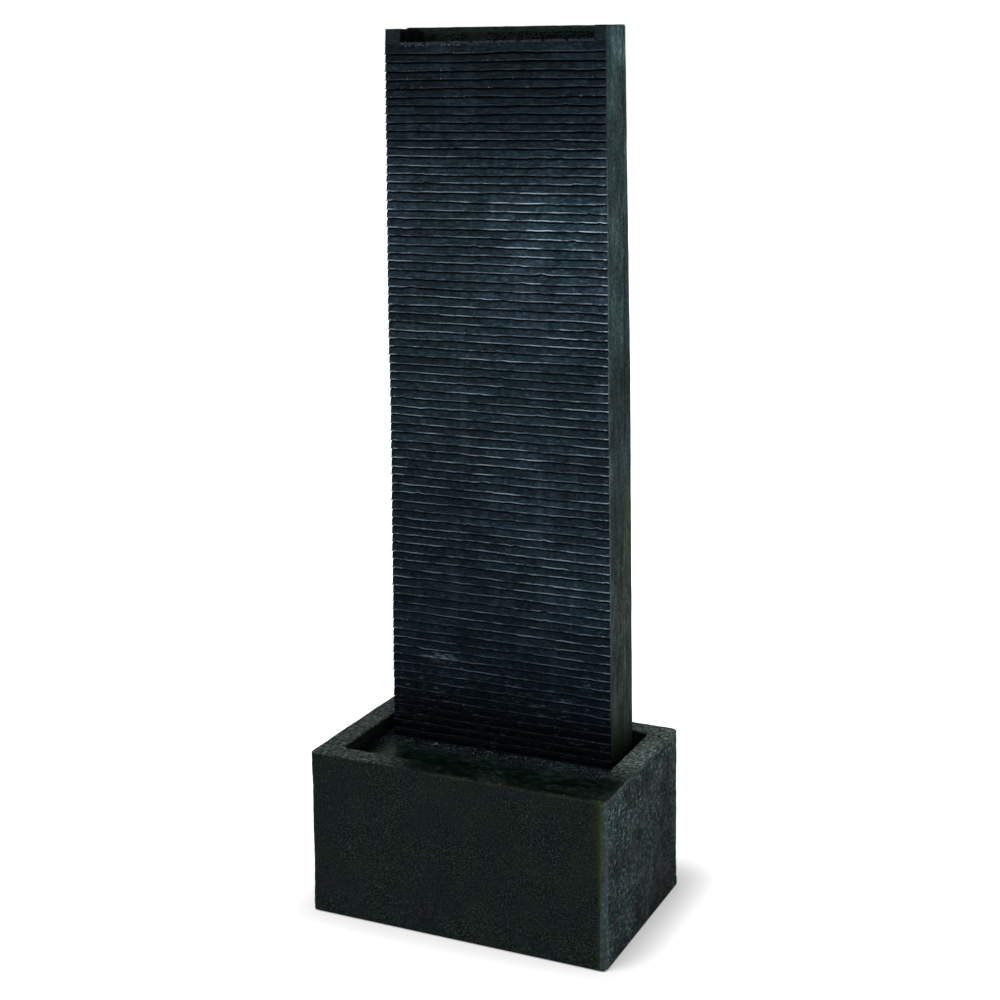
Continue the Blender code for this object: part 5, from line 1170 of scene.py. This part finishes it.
def spread(x, y, z):
    """Where a point of the basin's outside lies in the casting, which widens towards its foot."""
    beside = abs(x) - BASIN_HIGH.x
    before = abs(y) - BASIN_HIGH.y
    over_x = beside + BASIN_CORNER
    over_y = before + BASIN_CORNER
    if over_x > 0 and over_y > 0:
        reach = math.hypot(over_x, over_y)
        sharper = ((over_x / reach) ** 4 + (over_y / reach) ** 4) ** -0.25
        x = math.copysign(BASIN_HIGH.x - BASIN_CORNER + over_x * sharper, x)
        y = math.copysign(BASIN_HIGH.y - BASIN_CORNER + over_y * sharper, y)
    at_rim, more = LEAN_LEFT if x < 0 else LEAN_RIGHT
    lean = at_rim + more * (BASIN_HIGH.z - z) / BASIN_HIGH.z
    foot = max(0.0, 1 - z / FOOT_HEIGHT) ** 2 * FOOT_FLARE
    x += math.copysign((lean + foot) * min(1, max(0, beside / BLEND_WIDTH + 1)), x)
    y += math.copysign(foot * min(1, max(0, before / BLEND_WIDTH + 1)), y)
    skirt = min(1, max(0, (max(beside, before) + 17 * MM) / (4 * MM)))
    z -= SKIRT_DROP * skirt * max(0, 1 - (z - BASIN_LOW.z) / SKIRT_HEIGHT)
    return x, y, z


def make_basin(material):
    """The cast basin: softened edges, a slight swell, pits and small chips."""
    basin = copy_of("basin", "basin_casting")
    basin.data.remesh_voxel_size = REMESH_SIZE
    basin.data.use_remesh_preserve_volume = True
    select_only(basin)
    bpy.ops.object.voxel_remesh()
    places = points_of(basin)
    rim = BASIN_HIGH.z - 2.5 * MM
    for number, (place, direction) in enumerate(zip(places, points_of(basin, "normal"))):
        x, y, z = place
        outside = abs(x) > BASIN_HIGH.x - 4 * MM or abs(y) > BASIN_HIGH.y - 4 * MM or z > rim
        if not outside or z < BASIN_LOW.z + 6 * MM:
            places[number] = spread(x, y, z)
            continue
        swell = bumps(place, 70 * MM, 2) * BASIN_SWELL
        coarse = bumps(place, 11 * MM, 3) * BASIN_ROUGHNESS
        pit = chip = 0.0
        beside = abs(x) > BASIN_HIGH.x - WORN_EDGE
        before = abs(y) > BASIN_HIGH.y - WORN_EDGE
        pitted = z > rim or beside and x > 0
        nearest = noise.voronoi(Vector(place) / PIT_SPACING)[0][0]
        if pitted and nearest < PIT_REACH and bumps(place, 30 * MM, 1) > -0.1:
            pit = (PIT_REACH - nearest) * PIT_DEPTH
        if (z > rim) + beside + before > 1:
            chip = max(0.0, bumps(place, 8 * MM, 3) - CHIP_START) * CHIP_DEPTH
        out = swell + coarse - pit - chip + REMESH_SHRINK
        places[number] = Vector(spread(x, y, z)) + Vector(direction) * out
    set_points(basin, places)
    soften(basin, 60)
    dress(basin, material)
    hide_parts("basin")


def ripple_height(x, y):
    """How far the pool's surface stands above the waterline."""
    front = TOWER_LOW.y - y
    lap = 0.0
    if front > 0 and abs(x) < TOWER_WATERLINE_HALF_WIDTH + 20 * MM:
        wander = bumps((x, 0.1, 0), 45 * MM, 2) * 5 * MM
        wave = math.sin((front + wander) / LAP_LENGTH * 2 * math.pi)
        lap = wave * LAP_HEIGHT * math.exp(-front / LAP_FADE)
    corner = math.hypot(x + TOWER_WATERLINE_HALF_WIDTH, y - TOWER_LOW.y)
    ring = math.exp(-(((corner - RING_RADIUS) / RING_WIDTH) ** 2)) * RING_HEIGHT
    chop = bumps((x, y, 0.5), 16 * MM, 3) * CHOP_HEIGHT
    return lap + ring + chop


def round_corners(x, y, z):
    """Draws the water's corners in to the basin's rounded inner corners."""
    over_x = abs(x) - (POOL_HALF_WIDTH - POOL_CORNER)
    over_y = abs(y) - (POOL_HALF_DEPTH - POOL_CORNER)
    if over_x > 0 and over_y > 0:
        shrink = max(over_x, over_y) / math.hypot(over_x, over_y)
        x = math.copysign(POOL_HALF_WIDTH - POOL_CORNER + over_x * shrink, x)
        y = math.copysign(POOL_HALF_DEPTH - POOL_CORNER + over_y * shrink, y)
    return x, y, z


def give_depth(water, height, depth=WATER_SKIN):
    """Gives a sheet of water its uneven surface, and a thickness below it."""
    reshape(water, lambda x, y, z: (x, y, z + height(x, y)))
    apply_modifier(water, "SOLIDIFY", thickness=depth, offset=-1.0)


def make_pool(material):
    """The water's skin round the tower."""
    gap = WATER_GAP
    low = (-POOL_HALF_WIDTH + gap, -POOL_HALF_DEPTH + gap, WATERLINE)
    high = (POOL_HALF_WIDTH - gap, POOL_HALF_DEPTH - gap, WATERLINE)
    pool = add_grid("pool_water", 150, 90, low, high)
    half = tower_half_width(WATERLINE) + gap
    between = half - REAR_RIM_THICKNESS - 2 * gap
    rim_back = TOWER_BACK + REAR_RIM_BELOW + gap

    def under_tower(middle, normal):
        back = TOWER_BACK + gap if abs(middle.x) < between else rim_back
        return abs(middle.x) < half and TOWER_LOW.y - gap < middle.y < back

    open_edit(pool)
    for x in (-half, -between, between, half):
        cut_plane((x, 0, 0), (1, 0, 0))
    for y in (TOWER_LOW.y - gap, TOWER_BACK + gap, rim_back):
        cut_plane((0, y, 0), (0, 1, 0))
    close_edit()
    pick(pool, "FACE", under_tower)
    bpy.ops.mesh.delete(type="FACE")
    close_edit()
    give_depth(pool, ripple_height)
    reshape(pool, round_corners)
    soften(pool, 80)
    dress(pool, material)


def make_still_water(material):
    """The water inside the tower's foot and in the tray."""
    half = tower_half_width(WATERLINE) - TOWER_WALL - WATER_GAP
    front = HOLLOW_FRONT + WATER_GAP
    sump = add_grid(
        "sump_water", 60, 12, (-half, front, WATERLINE), (half, PANEL_LOW.y - WATER_GAP, WATERLINE)
    )
    give_depth(sump, lambda x, y: bumps((x, y, 2.5), 20 * MM, 2) * 0.3 * MM)
    wall = TRAY_WALL + 0.6 * MM
    level = SPILL_LEVEL - 1 * MM
    tray = add_grid(
        "tray_water",
        80,
        16,
        (TRAY_LOW.x + wall, HOLLOW_FRONT + wall, level),
        (TRAY_HIGH.x - wall, PANEL_LOW.y - wall, level),
    )
    give_depth(tray, lambda x, y: bumps((x, y, 4.5), 15 * MM, 3) * 0.6 * MM, 3 * MM)
    for water in (sump, tray):
        soften(water, 80)
        dress(water, material)


def bead(name, radius, flat):
    """One small ball with few faces, pressed flat against what it lies on."""
    deselect()
    bpy.ops.mesh.primitive_ico_sphere_add(subdivisions=2, radius=radius)
    return settle(bpy.context.object, name, flat)


def scatter(name, model, spots):
    """Copies of one small piece, each with its own mesh, set at their spots and joined."""
    copies = []
    for x, y, z, size, turn in spots:
        copy = add_object(name, model.data.copy())
        copy.data.transform(
            Matrix.Translation((x, y, z)) @ Matrix.Rotation(turn, 4, "Z") @ Matrix.Scale(size, 4)
        )
        copies.append(copy)
    bpy.data.objects.remove(model, do_unlink=True)
    piece = copies[0]
    select_only(piece)
    for copy in copies:
        copy.select_set(True)
    bpy.ops.object.join()
    piece.name = name
    soften(piece, 80)
    return piece


def make_foam(material):
    """Bubbles where the falls meet the pool."""
    chance = random.Random(FOAM_SEED)
    spots = []
    reach = TOWER_WATERLINE_HALF_WIDTH - 2 * MM
    for _ in range(BUBBLES):
        x = chance.uniform(-reach, reach)
        if chance.random() < 0.35:
            x = chance.choice((-1, 1, 1)) * (reach - chance.uniform(0, 30) * MM)
        away = min(chance.expovariate(1 / (13 * MM)), FOAM_REACH)
        y = TOWER_LOW.y - 1.6 * MM - away
        z = WATERLINE + ripple_height(x, y) + 0.1 * MM
        size = chance.uniform(0.35, 1.0) * (1 - 0.4 * away / FOAM_REACH)
        spots.append((x, y, z, size, chance.uniform(0, 6)))
    foam = scatter("falls_foam", bead("bubble", BUBBLE_RADIUS, (1, 1, 0.75)), spots)
    dress(foam, material)


def make_droplets(material):
    """Beads of water that hang on the lips of the courses."""
    chance = random.Random(DROPS_SEED)
    lips = course_lips()
    spots = []
    reach = TOWER_TOP_HALF_WIDTH - 4 * MM
    for _ in range(LIP_DROPS):
        lip = chance.choice(lips[: chance.choice((6, len(lips)))])
        if lip < WATERLINE + 5 * MM:
            continue
        x = chance.uniform(-reach, reach)
        size = chance.uniform(0.4, 1.1)
        spots.append((x, TOWER_LOW.y - 0.2 * MM, lip + 0.6 * MM, size, chance.uniform(0, 6)))
    for _ in range(SPILL_DROPS):
        x = chance.gauss(SPILL_DROPS_MIDDLE, SPILL_DROPS_SPREAD)
        if x < SPILL_LEFT:
            continue
        z = LIP_SEAT - chance.uniform(0, 1.5) * MM
        spots.append((x, TOWER_LOW.y + 0.2 * MM, z, chance.uniform(0.4, 0.9), 0))
    drops = scatter("face_droplets", bead("drop", DROP_RADIUS, (1, 0.6, 1)), spots)
    dress(drops, material)


def make_tray_moss(material):
    """Clumps of moss on the tray's back wall."""
    chance = random.Random(MOSS_SEED)
    spots = []
    for _ in range(MOSS_CLUMPS):
        x = chance.uniform(TRAY_LOW.x + 6 * MM, TRAY_HIGH.x - 6 * MM)
        z = chance.uniform(SPILL_LEVEL - 1 * MM, TRAY_HIGH.z - 1.5 * MM)
        if bumps((x, 0.4, z), 24 * MM, 2) < -0.12:
            continue
        y = PANEL_LOW.y - 3.4 * MM - chance.uniform(0, 0.5) * MM
        spots.append((x, y, z, chance.uniform(0.5, 1.3), chance.uniform(0, 6)))
    moss = scatter("tray_moss", bead("moss_clump", MOSS_RADIUS, (1, 1, 0.8)), spots)
    dress(moss, material)


def make_screw(name, place, turn):
    """A small countersunk screw with a cross in its head, on a leaf that faces backwards."""
    x, y, z = place
    deselect()
    bpy.ops.mesh.primitive_cylinder_add(
        vertices=20,
        radius=SCREW_RADIUS,
        depth=SCREW_HEAD,
        location=(x, y + SCREW_HEAD / 2, z),
        rotation=(-math.pi / 2, 0, 0),
    )
    screw = settle(bpy.context.object, name)
    pick(screw, "EDGE", lambda middle, along: middle.y > y + SCREW_HEAD - 0.1 * MM)
    bpy.ops.mesh.bevel(offset=0.35 * MM, segments=2, affect="EDGES")
    close_edit()
    for angle in (turn, turn + math.pi / 2):
        slot = add_box(
            "screw_slot", (-1.5 * MM, -0.4 * MM, -0.25 * MM), (1.5 * MM, 1 * MM, 0.25 * MM)
        )
        slot.data.transform(
            Matrix.Translation((x, y + 0.75 * MM, z)) @ Matrix.Rotation(angle, 4, "Y")
        )
        cut_away(screw, slot)
    soften(screw, 40)
    return screw


def make_hinge_screws(material):
    """Two screws in each leaf of the two hinges."""
    chance = random.Random(SCREW_SEED)
    face = TOWER_BACK + SEAT + LEAF_THICKNESS
    for level in ("lower", "upper"):
        pin_low, pin_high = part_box(f"{level}_hinge_pin")
        hinge_x = (pin_low.x + pin_high.x) / 2
        for leaf, body in (("panel_leaf", "fountain"), ("door_leaf", "access_door")):
            low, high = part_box(f"{level}_hinge_{leaf}")
            far = low.x if abs(low.x - hinge_x) > abs(high.x - hinge_x) else high.x
            x = far + math.copysign(SCREW_INSET, hinge_x - far)
            for number, z in enumerate((low.z + 7 * MM, high.z - 7 * MM), start=1):
                turn = chance.uniform(0, math.pi)
                screw = make_screw(f"{level}_{leaf}_screw_{number}", (x, face, z), turn)
                dress(screw, material, body)


# Studio

def make_studio():
    """A pale floor that keeps a faint shadow, soft lamps, and white behind."""
    deselect()
    bpy.ops.mesh.primitive_plane_add(size=60, location=(0, 0, 0))
    floor = bpy.context.object
    floor.name = "studio_floor"
    material, tree, shader = new_material("studio_floor", roughness=0.9, specular=0.1)
    seen = add_node(tree, "ShaderNodeLightPath").outputs["Is Camera Ray"]
    beside = []
    for axis, half in (("X", BASIN_HIGH.x), ("Y", BASIN_HIGH.y)):
        away = maths(tree, "SUBTRACT", maths(tree, "ABSOLUTE", axis_of(tree, axis)), half)
        away = maths(tree, "MAXIMUM", away, 0.0)
        beside.append(times(tree, away, away))
    away = maths(tree, "SQRT", maths(tree, "ADD", *beside))
    glow = maths(
        tree, "ADD", fade(tree, away, 0, 0.11, 0.25, 0.70), fade(tree, away, 0.5, 2.0, 0, 0.4)
    )
    finish = {
        "Base Color": (0.80, 0.80, 0.80),
        "Emission Color": (1, 1, 1),
        "Emission Strength": times(tree, seen, glow),
    }
    fill(tree, shader, finish)
    floor.data.materials.append(material)

    world = bpy.data.worlds.new("studio")
    bpy.context.scene.world = world
    world.use_nodes = True
    tree = world.node_tree
    seen = add_node(tree, "ShaderNodeLightPath").outputs["Is Camera Ray"]
    backdrop = {"Color": (1, 1, 1), "Strength": fade(tree, seen, 0, 1, 0.40, 1.0)}
    fill(tree, tree.nodes["Background"], backdrop)

    add_lamp("lamp_top", (-0.3, -0.9, 3.5), 1.3, 60)
    add_lamp("lamp_right", (2.4, 0.1, 1.7), 1.2, 12)
    add_lamp("lamp_front_left", (-1.8, -2.4, 1.9), 1.2, 10)


def add_lamp(name, place, size, power):
    """A round soft lamp that points at the middle of the fountain."""
    lamp = bpy.data.lights.new(name, "AREA")
    lamp.shape = "DISK"
    lamp.size = size
    lamp.energy = power
    holder = add_object(name, lamp)
    holder.location = place
    aim = Vector(LAMP_TARGET) - Vector(place)
    holder.rotation_euler = aim.to_track_quat("-Z", "Y").to_euler()


def make_camera():
    lens = bpy.data.cameras.new("camera")
    lens.sensor_width = 36
    lens.lens = CAMERA_LENS
    lens.shift_y = CAMERA_SHIFT
    camera = add_object("camera", lens)
    camera.matrix_world = (
        Matrix.Translation(CAMERA_PLACE)
        @ Matrix.Rotation(-CAMERA_YAW, 4, "Z")
        @ Matrix.Rotation(math.pi / 2 + CAMERA_PITCH, 4, "X")
        @ Matrix.Rotation(CAMERA_ROLL, 4, "Z")
    )
    bpy.context.scene.camera = camera


def paint_nodes(finishes):
    """Gives each CAD node that stays in view its finish, by the record's material slot."""
    for name, node in frame["nodes"].items():
        if node.hide_render:
            continue
        finish = finishes[SLOT_OF[name]]
        node.data.materials.clear()
        node.data.materials.append(finish)


make_camera()
bpy.context.scene.view_settings.view_transform = "Standard"
make_studio()

SLOT_OF = {part["node"]: part["material_slot"] for part in frame["record"]["subparts"]}

SLATE = wet_slate()
MOSSY = mossy_slate()
STEEL = stainless_steel()
FINISHES = {
    "basin_stone": cast_stone(),
    "wet_slate": SLATE,
    "mossy_slate": MOSSY,
    "tray_resin": tray_material(),
    "black_plastic": moulded("black_plastic", (0.010, 0.010, 0.011), (0.022, 0.022, 0.024), 0.42),
    "grey_plastic": moulded("grey_plastic", (0.07, 0.08, 0.09), (0.12, 0.13, 0.14), 0.40),
    "black_rubber": moulded("black_rubber", (0.012, 0.012, 0.012), (0.026, 0.026, 0.026), 0.72),
    "clear_hose": plain_finish(
        "clear_hose",
        (40, 4),
        ((0.35, (0.30, 0.36, 0.30)), (0.65, (0.55, 0.60, 0.57))),
        gloss=(70, 0.12, 0.3),
        transmission=0.55,
    ),
    "stainless_steel": STEEL,
    "white_ceramic": plain_finish(
        "white_ceramic",
        (150,),
        ((0.3, (0.66, 0.65, 0.62)), (0.7, (0.80, 0.79, 0.76))),
        roughness=0.2,
    ),
    "dark_magnet": moulded("dark_magnet", (0.035, 0.034, 0.033), (0.070, 0.068, 0.066), 0.45),
}
WATER = pool_water_material()
FOAM = plain_finish(
    "foam",
    (70, 4, 0.75),
    ((0.40, (0.001, 0.002, 0.003)), (0.54, (0.012, 0.017, 0.022)), (0.68, (0.105, 0.130, 0.150))),
    pits=(900, 2, 0.2 * MM, 0.2),
    roughness=0.18,
    specular=0.15,
)
DROPS = plain_finish(
    "water_drop",
    (200, 3),
    ((0.38, (0.02, 0.03, 0.04)), (0.7, (0.16, 0.20, 0.23))),
    roughness=0.05,
    specular=0.25,
)
MOSS = plain_finish(
    "moss",
    (260, 4, 0.7),
    ((0.30, (0.001, 0.003, 0.003)), (0.55, (0.0025, 0.008, 0.007)), (0.75, (0.006, 0.017, 0.013))),
    pits=(1500, 3, 0.3 * MM, 0.6),
    roughness=0.9,
    specular=0.15,
)

make_slate_face(SLATE)
make_tower_body(MOSSY, SLATE)
make_rear_panel(MOSSY)
make_basin(FINISHES["basin_stone"])
make_pool(WATER)
make_still_water(WATER)
make_foam(FOAM)
make_droplets(DROPS)
make_tray_moss(MOSS)
make_hinge_screws(STEEL)
paint_nodes(FINISHES)
